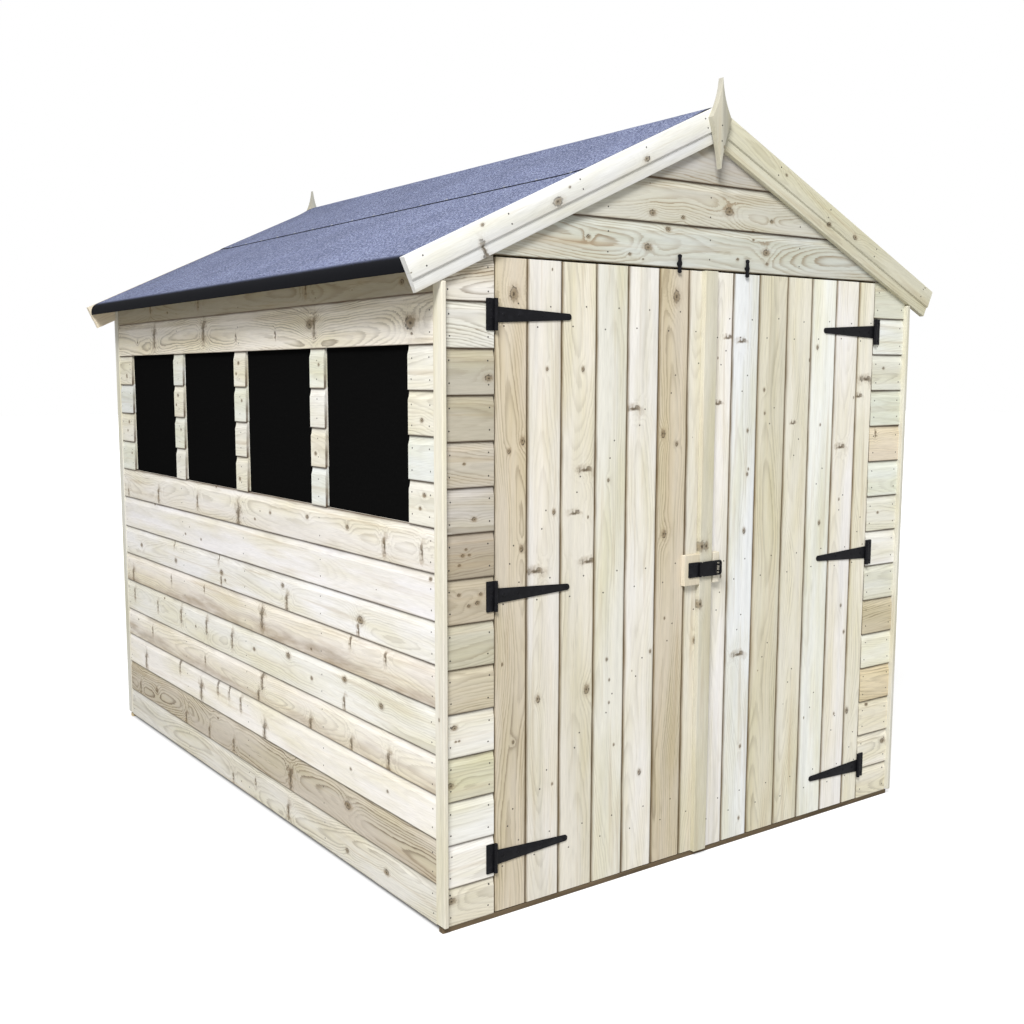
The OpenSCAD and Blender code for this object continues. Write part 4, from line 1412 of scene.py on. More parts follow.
@dataclass
class Planking:
    """Boards laid edge to edge: the floor, and the roof boards under the felt."""

    shop: Workshop
    floor_width: float = 112 * MM
    roof_width: float = 96 * MM
    joint: float = 0.5 * MM
    vee: float = 2.2 * MM
    eaves_gap: float = 14 * MM
    roof_thickness: float = 11 * MM

    def plank(self, low: float, high: float, thickness: float) -> Array:
        """Outline in (v, w) of a plank with a small vee along both edges of its w = 0 face."""
        a, b = low + self.joint / 2, high - self.joint / 2
        return np.array(
            [[a, self.vee], [a + self.vee, 0], [b - self.vee, 0],
             [b, self.vee], [b, thickness], [a, thickness]]
        )

    def build(self) -> None:
        """Builds the floor and the roof boards."""
        lo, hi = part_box("floor_boards")
        place = Placement(vector(0, 0, hi[2]), Y_AXIS, X_AXIS, -Z_AXIS)
        stack = Stack()
        edges = np.linspace(lo[0], hi[0], round((hi[0] - lo[0]) / self.floor_width) + 1)
        for low, high in zip(edges[:-1], edges[1:]):
            self.shop.board(stack, place, self.plank(low, high, hi[2] - lo[2]), lo[1], hi[1], None, 4)
        self.shop.hang("floor_planks", stack, Finish.FRAME, "shed", "floor_boards")
        thickness = self.roof_thickness
        for side, sign in (("left", -1.0), ("right", 1.0)):
            node = "roof_boards_" + side
            lo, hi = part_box(node)
            apex = hi[2] - thickness / PITCH_COS
            place = Placement(vector(0, 0, apex), Y_AXIS, *slope_axes(sign))
            span = max(abs(lo[0]), abs(hi[0])) / PITCH_COS - thickness * PITCH_TAN
            edges = np.linspace(thickness * PITCH_TAN, span, round(span / self.roof_width) + 1)
            edges[-1] -= self.eaves_gap
            stack = Stack()
            for low, high in zip(edges[:-1], edges[1:]):
                self.shop.board(stack, place, self.plank(low, high, thickness), lo[1], hi[1], None, 4)
            self.shop.hang(node + "_planks", stack, Finish.FRAME, "shed", node)


@dataclass
class Windows:
    """The four dark panes behind the left wall's boards."""

    shop: Workshop

    def build(self) -> None:
        """Dresses the panes in their finish."""
        pane = cad_nodes["window_glass"]
        pane.data.materials.clear()
        pane.data.materials.append(self.shop.paints.get(Finish.PANE))


# --- Roof ---------------------------------------------------------------------------------------


@dataclass
class Roof:
    """Felt in two courses on each slope, with a shared ridge course lapped over the lower ones."""

    shop: Workshop
    thickness: float = 1.8 * MM
    fold: float = 20 * MM
    rows: int = 96
    lap: float = 520 * MM
    lap_sag: float = 16 * MM
    # Where the painted shade along the ridge course's lower edge starts, as a share of its reach
    lap_shade_start: float = 0.975
    clout_radius: float = 4 * MM
    clout_inset: float = 14 * MM
    clout_pitch: float = 150 * MM

    def waves(self, y: Array, seed: float) -> Array:
        """Slow swell of a sheet along y, between 0 and 1: the mean of three sines of 0.9, 0.37 and 0.21 m."""
        total = sum(np.sin(2 * math.pi * y / length + seed * 7 * length) for length in (0.9, 0.37, 0.21))
        return 0.5 + total / 6

    def barge_shade(self, y: Array) -> Array:
        """Painted shade on each row of felt, in bitumen colour over the last 4 cm beside the barge boards."""
        return 0.62 * smooth((np.abs(y) - np.abs(y).max() + 40 * MM) / (40 * MM))

    def section(self, sign: float, ridge: float, edge: float, foot: float) -> tuple[Array, Array, Array]:
        """Middle line of a lower course: down the slope, round the eaves and down to its foot.

        Args:
            sign: Minus 1 for the left slope, plus 1 for the right.
            ridge: Height of its outer face at x = 0.
            edge: Distance of its outer face from the middle.
            foot: Height of its lower edge.

        Returns:
            Points (K, 2) in x and z, their outward normals, and how bare the felt is.
        """
        slope = PITCH_TAN
        corner = vector(edge, ridge - edge * slope)
        run = self.fold * 1.3
        top = corner - run * vector(PITCH_COS, -PITCH_SIN)
        t = np.linspace(0, 1, 12)[:, None]
        curl = top * (1 - t) ** 2 + corner * 2 * t * (1 - t) + (corner - vector(0, run)) * t**2
        s = 1 - np.linspace(1, 0, 22)[:, None] ** 2
        slab = vector(0, ridge) * (1 - s) + top * s
        drop = np.column_stack([edge - vector(0.6, 1.6) * MM, vector(corner[1] - run - 8 * MM, foot)])
        line = np.concatenate([slab[:-1], curl, drop])
        tangent = np.gradient(line, axis=0)
        tangent /= np.linalg.norm(tangent, axis=1, keepdims=True)
        normal = np.column_stack([-tangent[:, 1], tangent[:, 0]])
        normal *= np.sign(normal[:, 1:2].max())
        arc = np.concatenate([[0.0], np.cumsum(np.linalg.norm(np.diff(line, axis=0), axis=1))])
        # Painted shade: the eave roll and its drop darken towards bitumen colour
        turned = 0.9 * smooth((arc - arc[20] + 30 * MM) / (70 * MM))
        line[:, 0] *= sign
        normal[:, 0] *= sign
        return line, normal, turned

    def sheet(
        self, name: str, node: str, line: Array, normal: Array, bitumen_and_shade: Array, sink: Array, y: Array
    ) -> None:
        """Lays a sheet: the line at each y, sunk by sink(y, k) along its normals, with a real thickness.

        Args:
            name: Name of the piece.
            node: The CAD node that it replaces.
            line: Points of the outer face in x and z, (K, 2), or (N, K, 2) for each y.
            normal: Outward normals, (K, 2).
            bitumen_and_shade: Painted shade in bitumen colour at each point of each line, with the uncoated
                cut edge along a lap, (N, K).
            sink: Depth of each point below its place, (N, K).
            y: Places of the rows, (N,).
        """
        outer = line - sink[..., None] * normal
        inner = outer - self.thickness * normal
        loop = np.concatenate([outer, inner[:, ::-1]], axis=1)
        points = np.stack([loop[..., 0], np.broadcast_to(y[:, None], loop.shape[:2]), loop[..., 1]], axis=-1)
        around = loop.shape[1]
        tone = np.zeros((len(y), around, 3))
        # The outer face takes the painted shade; the inner face is uncoated bitumen
        tone[:, : bitumen_and_shade.shape[1], 0] = bitumen_and_shade
        tone[:, bitumen_and_shade.shape[1] :, 0] = 1.0
        area = signed_area(loop[0])
        stack = Stack()
        faces = tube_faces(len(y), around, area > 0)
        stack.add(points.reshape(-1, 3), faces, {"tone": tone.reshape(-1, 3)})
        self.shop.hang(name, stack, Finish.FELT, "shed", node, crease=40.0)

    def build(self) -> None:
        """Lays the felt and drives its clouts."""
        spots, outs = [], []
        for side, sign in (("left", -1.0), ("right", 1.0)):
            node = "roof_felt_" + side
            lo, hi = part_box(node)
            edge = max(abs(lo[0]), abs(hi[0]))
            line, normal, bitumen_and_shade = self.section(sign, hi[2], edge, lo[2])
            y = np.linspace(lo[1] + 0.4 * MM, hi[1] - 0.4 * MM, self.rows)
            down = np.linspace(0, 1, len(line)) ** 2 * (1 - 0.8 * bitumen_and_shade)
            swell = self.waves(y, 1.0 + sign)[:, None]
            ripple = self.waves(1.7 * y + 0.4, 3.0 + sign)[:, None]
            sink = (0.2 + 1.5 * swell * down + 0.5 * ripple * np.sin(down * 9) ** 2) * MM
            line_at = np.broadcast_to(line, (len(y), *line.shape))
            # Painted shade on the eave roll and beside the barge boards
            painted_shade = np.maximum(bitumen_and_shade[None, :], self.barge_shade(y)[:, None])
            self.sheet(node + "_course", node, line_at, normal, painted_shade, sink, y)
            outward = slope_axes(sign)[1]
            lo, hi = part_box("ridge_felt")
            along = np.arange(lo[1] + 60 * MM, hi[1] - 40 * MM, self.clout_pitch)
            reach = (self.lap - self.clout_inset) * PITCH_COS
            height = hi[2] - reach * PITCH_TAN
            spots.append(np.column_stack([0 * along + sign * reach, along, 0 * along + height]))
            outs.append(np.tile(outward, (len(along), 1)))
        self.ridge()
        spot, out = np.concatenate(spots), np.concatenate(outs)
        self.shop.nails("felt_clouts", spot, out, "shed", Finish.CLOUT, self.clout_radius)

    def ridge(self) -> None:
        """Lays the ridge course.

        Its section runs over the rounded ridge, x from minus to plus its reach, at a height of
        apex - tan(pitch) (sqrt(x^2 + r^2) - r). The reach shortens near both gables.
        """
        lo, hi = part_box("ridge_felt")
        y = np.linspace(lo[1] + 0.3 * MM, hi[1] - 0.3 * MM, self.rows)
        full = self.lap * PITCH_COS
        near = smooth((np.abs(y) - (hi[1] - 0.12)) / 0.12)
        reach = full - self.lap_sag * near + 0.8 * MM * np.sin(11 * y) * np.sin(4 * y + 1)
        even = np.linspace(-1, 1, 41)
        s = np.sort(np.concatenate([np.sign(even) * np.abs(even) ** 1.3, [-self.lap_shade_start, self.lap_shade_start]]))
        x = reach[:, None] * s
        bend = 16 * MM
        z = hi[2] - PITCH_TAN * (np.sqrt(x**2 + bend**2) - bend) - 0.6 * MM
        outward = np.where(s == 0, 1.0, PITCH_COS)
        normal = np.column_stack([np.sign(s) * PITCH_SIN, outward])
        sag = PITCH_TAN * bend * np.ones_like(s)
        sink = sag * smooth(np.abs(x) / 0.1) + 0.5 * MM * self.waves(y, 0.3)[:, None]
        # Painted shade beside the barge boards and along the lower edge of the lap, whose cut edge also shows
        # bitumen
        bitumen_and_shade = np.maximum(self.barge_shade(y)[:, None], (np.abs(s) > 0.99)[None, :])
        self.sheet("ridge_felt_course", "ridge_felt", np.stack([x, z], axis=-1), normal, bitumen_and_shade, sink, y)


@dataclass
class GableTrim:
    """Barge boards with a stepped lower edge, and the pointed finials where they meet."""

    shop: Workshop
    width: float = 89 * MM
    upper: float = 59 * MM
    thickness: float = 20 * MM
    step: float = 5 * MM
    apex: float = 2178.9 * MM
    half_span: float = 1023.5 * MM
    hollow: float = 7 * MM
    back_drop: float = 4 * MM
    nail_places: tuple[float, ...] = (0.06, 0.3, 0.55, 0.8)
    nail_depths: tuple[float, ...] = (0.016, 0.042)

    def profile(self) -> Array:
        """Outline in (depth below the roof's surface, distance behind the front face).

        The upper face is flat, with a cove down to the thinner lower step, and rounded arrises.
        """
        t = np.linspace(0, 1, 5)
        cove = np.column_stack([self.upper - 4 * MM + 4 * MM * t, self.step * t**2])
        front = np.array([[0.2, 1.6], [0.6, 0.5], [1.6, 0.0]]) * MM
        low = self.width
        foot = np.array(
            [[low - 2.0 * MM, self.step], [low - 0.6 * MM, self.step + 0.6 * MM], [low, self.step + 2 * MM],
             [low, self.thickness], [0.0, self.thickness]]
        )
        return np.concatenate([front, cove, foot])

    def build(self) -> None:
        """Builds the barge boards, the finials and their nails."""
        spots: list[Array] = []
        profile = self.profile()
        foot = self.half_span / PITCH_COS
        for number, (side, sign) in enumerate((("left", -1.0), ("right", 1.0))):
            stack = Stack()
            for end in (-1.0, 1.0):
                apex = self.apex - (self.back_drop if end > 0 else 0.0)
                down, outward = slope_axes(sign)
                origin = vector(0, end * (HALF_DEPTH + self.thickness), apex)
                place = Placement(origin, down, -outward, vector(0, -end, 0))
                look = BARGE_LOOKS[number] if end < 0 else None
                self.shop.board(stack, place, profile, profile[:, 0] * PITCH_TAN, foot, look, 12)
                for u in (*self.nail_places, foot - 0.05):
                    spots += [place.point(vector(u, v, 0)) for v in self.nail_depths]
            node = "barge_boards_" + side
            self.shop.hang(node + "_pair", stack, Finish.TRIM, "shed", node)
        self.finials(spots)
        places = np.array(spots)
        outs = np.column_stack([0 * places[:, 0], np.sign(places[:, 1]), 0 * places[:, 0]])
        self.shop.nails("gable_trim_nails", places, outs)

    def finials(self, spots: list[Array]) -> None:
        """Builds both finials: a kite whose edges curve inwards by sin(pi t), carried through its thickness.

        Args:
            spots: Takes the places of their nails.
        """
        points = read_points(cad_nodes["finials"].data)
        front = points[points[:, 1] < 0]
        tip, low = front[:, 2].max(), front[:, 2].min()
        wide = front[:, 0].max()
        shoulder = front[np.argmax(front[:, 0]), 2]
        t = np.linspace(0, 1, 9)
        hollow = self.hollow * np.sin(math.pi * t)
        upper = np.column_stack([wide * t - hollow * 0.9, tip + (shoulder - tip) * t - hollow * 0.35])
        upper[0] = [0.0, tip]
        lower = np.column_stack([wide * (1 - t) - hollow * 0.6, shoulder + (low - shoulder) * t])[1:-1]
        half = np.concatenate([upper, lower])
        outline = np.concatenate([half, [[0.0, low]], (half * vector(-1, 1))[::-1][:-1]])
        stack = Stack()
        depths = np.unique(np.round(np.abs(points[:, 1]), 5))
        outline = outline if signed_area(outline) > 0 else outline[::-1]
        thickness = 18 * MM
        rings = [(0.0, 0.0), (0.0, 16.4), (0.5, 17.5), (1.6, 18.0)]
        for end in (-1.0, 1.0):
            place = Placement(vector(0, end * depths[0], 0), X_AXIS, Z_AXIS, vector(0, end, 0))
            local = np.concatenate(
                [
                    np.column_stack([inset(outline, c * MM), np.full(len(outline), w * MM)])
                    for c, w in rings
                ]
            )
            grain = np.column_stack([local[:, 1] - low, local[:, 0], thickness - local[:, 2]])
            faces = tube_faces(len(rings), len(outline), place.hand < 0)
            stack.add(place.point(local), faces, *self.shop.wood(FINIAL_LOOK, grain, faces))
            for z in (shoulder - 20 * MM, shoulder - 62 * MM):
                spots.append(vector(0, end * depths[1], z))
        self.shop.hang("finial_pair", stack, Finish.TRIM, "shed", "finials")


# --- Doors and ironwork -------------------------------------------------------------------------


class Side(Enum):
    """A door's side, with its sign along X."""

    LEFT = -1
    RIGHT = 1


@dataclass
class Door:
    """One door: tongued and grooved boards with vees, on three ledges and two braces."""

    shop: Workshop
    side: Side
    joints: tuple[float, ...]
    hinges: tuple[float, ...]
    looks: Sequence[Look]
    thickness: float = 14 * MM
    vee: float = 3.2 * MM
    gap: float = 1.6 * MM

    @property
    def name(self) -> str:
        """The door's body and the first part of its nodes' names."""
        return self.side.name.lower() + "_door"

    def plank(self, low: float, high: float, first: bool, last: bool) -> Array:
        """Outline in (v, w) of a board, vees on its face, a groove on its low edge and a tongue on its high.

        Args:
            low: Where the board's cover starts.
            high: Where it ends.
            first: Whether its low edge is the door's edge, which is plain.
            last: Whether its high edge is.

        Returns:
            The closed outline with the painted shade at each point, (K, 3).
        """
        a = low + (0 if first else self.gap / 2)
        b = high - (0 if last else self.gap / 2)
        soft, fade = 1.2 * MM, 5.0 * MM
        # Painted shade on the rounded door edges and in the vees, fading onto the face over 5 mm; the vees'
        # colour also stands for soiling in the joints
        near = [[a, soft, 0.6], [a + soft, 0, 0.2], [a + soft + fade, 0, 0]]
        if not first:
            near = [[a, self.vee, 1], [a + self.vee, 0, 0.55], [a + self.vee + fade, 0, 0]]
        far = [[b - soft - fade, 0, 0], [b - soft, 0, 0.2], [b, soft, 0.6]]
        if not last:
            far = [[b - self.vee - fade, 0, 0], [b - self.vee, 0, 0.55], [b, self.vee, 1]]
        high, low = 5.2 * MM, 8.8 * MM
        tongue, groove = [], []
        if not last:
            tongue = [[b, high, 1], [b + 5 * MM, high, 1], [b + 5 * MM, low, 1], [b, low, 1]]
        if not first:
            groove = [[a, 9 * MM, 0], [a + 6 * MM, 9 * MM, 0], [a + 6 * MM, 5 * MM, 1], [a, 5 * MM, 1]]
        deep = self.thickness
        return np.array(near + far + tongue + [[b, deep, 0], [a, deep, 0]] + groove)

    def build(self) -> None:
        """Builds the boards, ledges, braces and nails."""
        lo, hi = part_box(self.name + "_boards")
        place = Placement(vector(0, lo[1], 0), Z_AXIS, X_AXIS, Y_AXIS)
        edges = [lo[0], *self.joints, hi[0]]
        stack = Stack()
        last = len(edges) - 2
        for number, (low, high) in enumerate(zip(edges[:-1], edges[1:])):
            trim = self.shop.rng.uniform(0, 1.2, 2) * MM
            profile = self.plank(low, high, number == 0, number == last)
            start, end = lo[2] + trim[0], hi[2] - trim[1]
            self.shop.board(stack, place, profile, start, end, self.looks[number], 10)
        name = self.name
        self.shop.hang(name + "_matchboards", stack, Finish.DOOR, name, name + "_boards")
        for part in ("_ledges", "_braces"):
            self.shop.solids(name + part, Finish.LEDGE, name, (), 2.5 * MM)
        self.shop.nails(name + "_nails", self.nail_spots(edges, lo[1]), -Y_AXIS, name)

    def nail_spots(self, edges: Sequence[float], face: float) -> Array:
        """Places the nails: two in each board at each ledge, and two where a brace crosses it.

        Args:
            edges: Edges of the boards along X.
            face: Where the door's face lies along Y.

        Returns:
            The nails' places, (N, 3).
        """
        sides = np.array(edges)
        middles = (sides[:-1] + sides[1:]) / 2
        heights = np.array(self.hinges)
        x, z, rise = np.meshgrid(middles, heights, vector(-1, 1) * 27 * MM, indexing="ij")
        lean = np.where(rise > 0, 22 * MM, -24 * MM)
        ledge = np.stack([x + lean, z + rise], axis=-1).reshape(-1, 2)
        hinged, free = (sides[0], sides[-1]) if self.side is Side.LEFT else (sides[-1], sides[0])
        share = (middles - hinged) / (free - hinged)
        braces = [
            np.column_stack([middles + shift, low + 0.06 + share * (high - low - 0.12) + rise])
            for low, high in zip(heights[:-1], heights[1:])
            for shift, rise in ((-8 * MM, -20 * MM), (10 * MM, 26 * MM))
        ]
        flat = np.concatenate([ledge, *braces])
        flat += self.shop.stray(flat.shape, 4 * MM)
        # None is driven through the cover strip
        flat = flat[(flat[:, 0] <= -34 * MM) | (flat[:, 0] >= 24 * MM)]
        return np.column_stack([flat[:, 0], np.full(len(flat), face), flat[:, 1]])


def barrel(
    stack: Stack, place: Placement, radius: float, ends: tuple[float, float], soft: float, around: int
) -> None:
    """Turns a hinge's knuckle about the local w axis, with softened ends.

    Args:
        stack: Where it goes.
        place: Frame on the pin.
        radius: Its radius.
        ends: Its lower and upper end along the pin.
        soft: Width of the softened edges.
        around: Points in each ring.
    """
    low, high = ends
    profile = np.array(
        [[OFF_AXIS, low], [radius - soft, low], [radius, low + soft],
         [radius, high - soft], [radius - soft, high], [OFF_AXIS, high]]
    )
    lathe(stack, place, profile, around)


def leaf(stack: Stack, place: Placement, width: float, height: float, knuckle: float, metal: float) -> None:
    """Presses a hinge's fixed leaf: a box with rounded corners, which ends just short of the pin.

    Args:
        stack: Where it goes.
        place: Frame at the pin, with u towards the door.
        width: Its width beside the pin.
        height: Its height.
        knuckle: Radius of the knuckles.
        metal: Thickness of the metal.
    """
    half, inner = height / 2, 0.3 * knuckle
    rim = np.array([[-width, -half], [-inner, -half], [-inner, half], [-width, half]])
    plate(stack, place, rounded(rim, 2.5 * MM), metal, 0.6 * MM)



@dataclass
class StrapHinges:
    """Black strap hinges: a plate and pin on the wall, and a tapered strap on the door."""

    shop: Workshop
    side: Side
    heights: tuple[float, ...]
    pin: float = 748.5 * MM
    pin_y: float = -1226 * MM
    length: float = 245 * MM
    root: float = 40 * MM
    tip: float = 17 * MM
    plate_height: float = 80 * MM
    plate_width: float = 27 * MM
    metal: float = 3 * MM
    knuckle: float = 5.5 * MM
    screws: tuple[tuple[float, float], ...] = ((26 * MM, 5.5 * MM), (74 * MM, 3.8 * MM), (150 * MM, 3.8 * MM))

    def build(self, door: str) -> None:
        """Builds the side's three hinges.

        Args:
            door: The door's body.
        """
        fixed, swung = Stack(), Stack()
        gap = 0.25 * MM
        half, middle = self.plate_height / 2, self.root / 2
        sign = self.side.value
        for z in self.heights:
            place = Placement(vector(sign * self.pin, -HALF_DEPTH, z), vector(-sign, 0, 0), Z_AXIS, -Y_AXIS)
            pin = Placement(vector(sign * self.pin, self.pin_y, z), X_AXIS, Y_AXIS, Z_AXIS)
            leaf(fixed, place, self.plate_width, self.plate_height, self.knuckle, self.metal)
            for ends in ((-half, -middle - gap), (middle + gap, half)):
                barrel(fixed, pin, self.knuckle, ends, 0.5 * MM, 28)
            for end in (-1.0, 1.0):
                cap = Placement(pin.origin + end * half * Z_AXIS, X_AXIS, Y_AXIS, vector(0, 0, end))
                dome = np.array([[3.4, 0.0], [3.4, 0.5], [2.4, 1.1], [0.05, 1.3]]) * MM
                lathe(fixed, cap, dome - vector(0, 1.3 * MM), 20)
            for v in (-0.36, -0.12, 0.12, 0.36):
                u = -self.plate_width * (0.72 if abs(v) > 0.2 else 0.42)
                spot = place.point(vector(u, v * self.plate_height, self.metal))
                pan_head(fixed, spot, -Y_AXIS, 3.6 * MM, 1.5 * MM)
            self.strap(swung, place)
            barrel(swung, pin, self.knuckle, (-middle + gap, middle - gap), 0.5 * MM, 28)
            for u, r in (*self.screws, (self.length - self.tip / 2 - 1 * MM, 3.8 * MM)):
                pan_head(swung, place.point(vector(u, 0, self.metal)), -Y_AXIS, r, 0.42 * r)
        name = self.side.name.lower() + "_hinge_plates"
        self.shop.hang(name, fixed, Finish.IRON, "shed", "hinge_plates")
        self.shop.hang(door + "_strap_set", swung, Finish.IRON, door, door + "_straps")

    def strap(self, stack: Stack, place: Placement) -> None:
        """Adds a strap: a taper from root to tip, closed by a half circle at the tip.

        Args:
            stack: Where it goes.
            place: Frame at the pin.
        """
        reach = self.length - self.tip / 2
        t = np.linspace(0, 1, 8)
        u = self.knuckle * 0.4 + (reach - self.knuckle * 0.4) * t
        half = self.root / 2 + (self.tip - self.root) / 2 * t
        angle = np.linspace(-math.pi / 2, math.pi / 2, 13)[1:-1]
        lower = np.column_stack([u, -half])
        nose = np.column_stack([reach + self.tip / 2 * np.cos(angle), self.tip / 2 * np.sin(angle)])
        outline = np.concatenate([lower, nose, (lower * vector(1, -1))[::-1]])
        plate(stack, place, outline, self.metal, 0.7 * MM)


@dataclass
class Latch:
    """The hasp: a plate on the left door, a hinged flap with a slot, and the staple that it drops over."""

    shop: Workshop
    pin: Array = field(default_factory=lambda: vector(-31, -1242.5, 875) * MM)
    height: float = 44 * MM
    plate_width: float = 43 * MM
    flap_length: float = 86 * MM
    metal: float = 3 * MM
    knuckle: float = 4 * MM
    boss: float = 3 * MM
    plate_y: float = -1236 * MM
    slot: tuple[float, float] = (15 * MM, 34 * MM)
    staple_x: float = 39 * MM
    bar: float = 2.5 * MM

    def build(self) -> None:
        """Builds the plate, the flap and the staple."""
        place = front_frame(self.pin[0], self.plate_y, self.pin[2])
        half, quarter = self.height / 2, self.height / 4
        gap = 0.2 * MM
        barrels = Placement(self.pin, X_AXIS, Y_AXIS, Z_AXIS)
        stack = Stack()
        leaf(stack, place, self.plate_width, self.height, self.knuckle, self.metal)
        for u in (-0.78, -0.36):
            for v in (-0.29, 0.29):
                spot = place.point(vector(u * self.plate_width, v * self.height, self.metal))
                pan_head(stack, spot, -Y_AXIS, 3.6 * MM, 1.5 * MM)
        for ends in ((-half, -quarter - gap), (quarter + gap, half)):
            barrel(stack, barrels, self.knuckle, ends, 0.4 * MM, 24)
        self.shop.hang("latch_plate_pressed", stack, Finish.IRON, "left_door", "latch_plate")

        flap = Stack()
        barrel(flap, barrels, self.knuckle, (-quarter + gap, quarter - gap), 0.4 * MM, 24)
        self.flap(flap)
        self.shop.hang("latch_flap_pressed", flap, Finish.IRON, "latch", "latch_flap")

        lo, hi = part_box("latch_staple")
        bar = Stack()
        top, low = hi[2] - self.bar, lo[2] + self.bar
        front, back = lo[1] + self.bar, hi[1] + 4 * MM
        bend = 5 * MM
        t = np.linspace(0, math.pi / 2, 7)
        y = [back, *(front + bend - bend * np.sin(t)), *(front + bend - bend * np.cos(t)), back]
        z = [low, *(low + bend - bend * np.cos(t)), *(top - bend + bend * np.sin(t)), top]
        rod(bar, np.column_stack([np.full(len(y), (lo[0] + hi[0]) / 2), y, z]), self.bar)
        self.shop.hang("latch_staple_bar", bar, Finish.IRON, "right_door", "latch_staple")

    def flap(self, stack: Stack) -> None:
        """Adds the flap: a ring between its rim and its slot, in layers.

        Point (j, k) lies on layer j at angle k around the slot's middle. The rim is a rounded box found
        along each ray, and the slot a smaller one; the front layers are drawn inwards as a chamfer.

        Args:
            stack: Where it goes.
        """
        centre = vector(self.staple_x - self.pin[0], 0)
        angle = 2 * math.pi * np.arange(72) / 72
        ray = np.column_stack([np.cos(angle), np.sin(angle)])
        left = self.knuckle + 0.6 * MM
        middle = vector((left + self.flap_length) / 2, 0)
        reach = vector((self.flap_length - left) / 2, self.height / 2)
        rim = ray_to_box(centre, ray, middle, reach, 9 * MM)
        slot = ray_to_box(centre, ray, centre, vector(*self.slot) / 2, 3 * MM)
        boss_left = centre[0] - self.slot[0] / 2 - 6 * MM
        boss_middle = vector((boss_left + self.flap_length) / 2, 0)
        boss_reach = vector((self.flap_length - boss_left) / 2, self.height / 2)
        collar = ray_to_box(centre, ray, boss_middle, boss_reach - 0.2 * MM, 9 * MM)
        crown = ray_to_box(centre, ray, boss_middle, boss_reach - 3.4 * MM, 7 * MM)
        # Depth along w runs out of the front; the flap's back is half its metal behind the pin
        back, front = -self.metal / 2, self.metal / 2
        layers = [
            (slot, back), (rim, back), (rim, front - 0.4 * MM), (rim * 0.996 + 0.004 * centre, front),
            (collar, front), (collar, front + 0.2 * MM), (crown, front + self.boss),
            (slot + (slot - centre) * 0.06, front + self.boss), (slot, front + self.boss - 0.5 * MM),
        ]
        local = np.concatenate([np.column_stack([ring, np.full(72, w)]) for ring, w in layers])
        place = front_frame(*self.pin)
        stack.add(place.point(local), tube_faces(len(layers), 72, place.hand < 0, caps=False, loop=True))
        # The web between the flap and its knuckle
        end = left / self.height + 0.03
        web = np.array([[0, -0.24], [end, -0.24], [end, 0.24], [0, 0.24]])
        root = front_frame(self.pin[0], self.pin[1] + self.metal / 2, self.pin[2])
        plate(stack, root, web * self.height, self.metal, 0.3 * MM)


def ray_to_box(start: Array, ray: Array, middle: Array, reach: Array, radius: float) -> Array:
    """Finds where rays leave a box with rounded corners.

    The distance outside the box is |max(|p - middle| - (reach - radius), 0)| - radius; each ray is halved
    40 times between its start, which is inside, and a point far outside.

    Args:
        start: Where the rays start, inside the box.
        ray: Unit directions, (K, 2).
        middle: Middle of the box.
        reach: Half of its width and height.
        radius: Radius of its corners.

    Returns:
        The points, (K, 2).
    """
    near, far = np.zeros(len(ray)), np.full(len(ray), 1.0)
    for _ in range(40):
        half = (near + far) / 2
        gap = np.maximum(np.abs(start + half[:, None] * ray - middle) - (reach - radius), 0.0)
        inside = np.linalg.norm(gap, axis=1) < radius
        near, far = np.where(inside, half, near), np.where(inside, far, half)
    return start + near[:, None] * ray


@dataclass
class TurnButtons:
    """The two turn buttons above the doors: pressed straps with a round screw in the middle."""

    shop: Workshop
    places: tuple[float, ...] = (-122 * MM, 149 * MM)
    height: float = 1743 * MM
    back: float = -1225 * MM
    length: float = 52 * MM
    width: float = 17 * MM
    metal: float = 3 * MM

    def build(self) -> None:
        """Builds the buttons and their screws."""
        screws = Stack()
        for x, side in zip(self.places, ("left", "right")):
            place = front_frame(x, self.back, self.height)
            stack = Stack()
            plate(stack, place, self.outline(), self.metal, 0.9 * MM)
            button = side + "_button"
            self.shop.hang(button + "_pressed", stack, Finish.IRON, button, "turn_button_" + side)
            spot = place.point(vector(0, 0, self.metal + 0.3 * MM))
            pan_head(screws, spot, -Y_AXIS, 5.5 * MM, 2.0 * MM)
            foot = front_frame(x, -HALF_DEPTH, self.height)
            collar = np.array([[5.8, 0.0], [5.8, 4.2], [5.2, 4.7], [2.9, 4.7], [2.9, 8.6], [0.05, 8.6]])
            lathe(screws, foot, collar * MM, 24)
        self.shop.hang("button_screw_set", screws, Finish.IRON, "shed", "turn_button_screws")

    def outline(self) -> Array:
        """Outline of a button, with t from -1 to 1 along its length.

        Half its width is w / 2 (0.8 + 0.2 cos(2.16 pi t)) sqrt(1 - |t|^9). So it is widest at the middle
        and near both ends, necked between them, and rounded at the ends.
        """
        reach = self.length / 2
        t = np.linspace(-1, 1, 33)
        neck = 0.80 + 0.20 * np.cos(2 * math.pi * t * 1.08)
        end = np.sqrt(np.clip(1 - np.abs(t) ** 9, 0, 1))
        half = self.width / 2 * neck * end
        side = np.column_stack([half, reach * t])[1:-1]
        return np.concatenate([[[0.0, -reach]], side, [[0.0, reach]], (side * vector(-1, 1))[::-1]])


@dataclass
class DoorTrim:
    """The cover strip between the doors, and the two packing blocks behind the latch."""

    shop: Workshop

    def build(self) -> None:
        """Dresses the strip and the blocks."""
        for node, body, look in zip(
            ("door_cover_strip", "left_latch_block", "right_latch_block"),
            ("left_door", "left_door", "right_door"),
            STRIP_LOOKS,
        ):
            self.shop.solids(node, Finish.TRIM, body, [look])


# --- Stage --------------------------------------------------------------------------------------


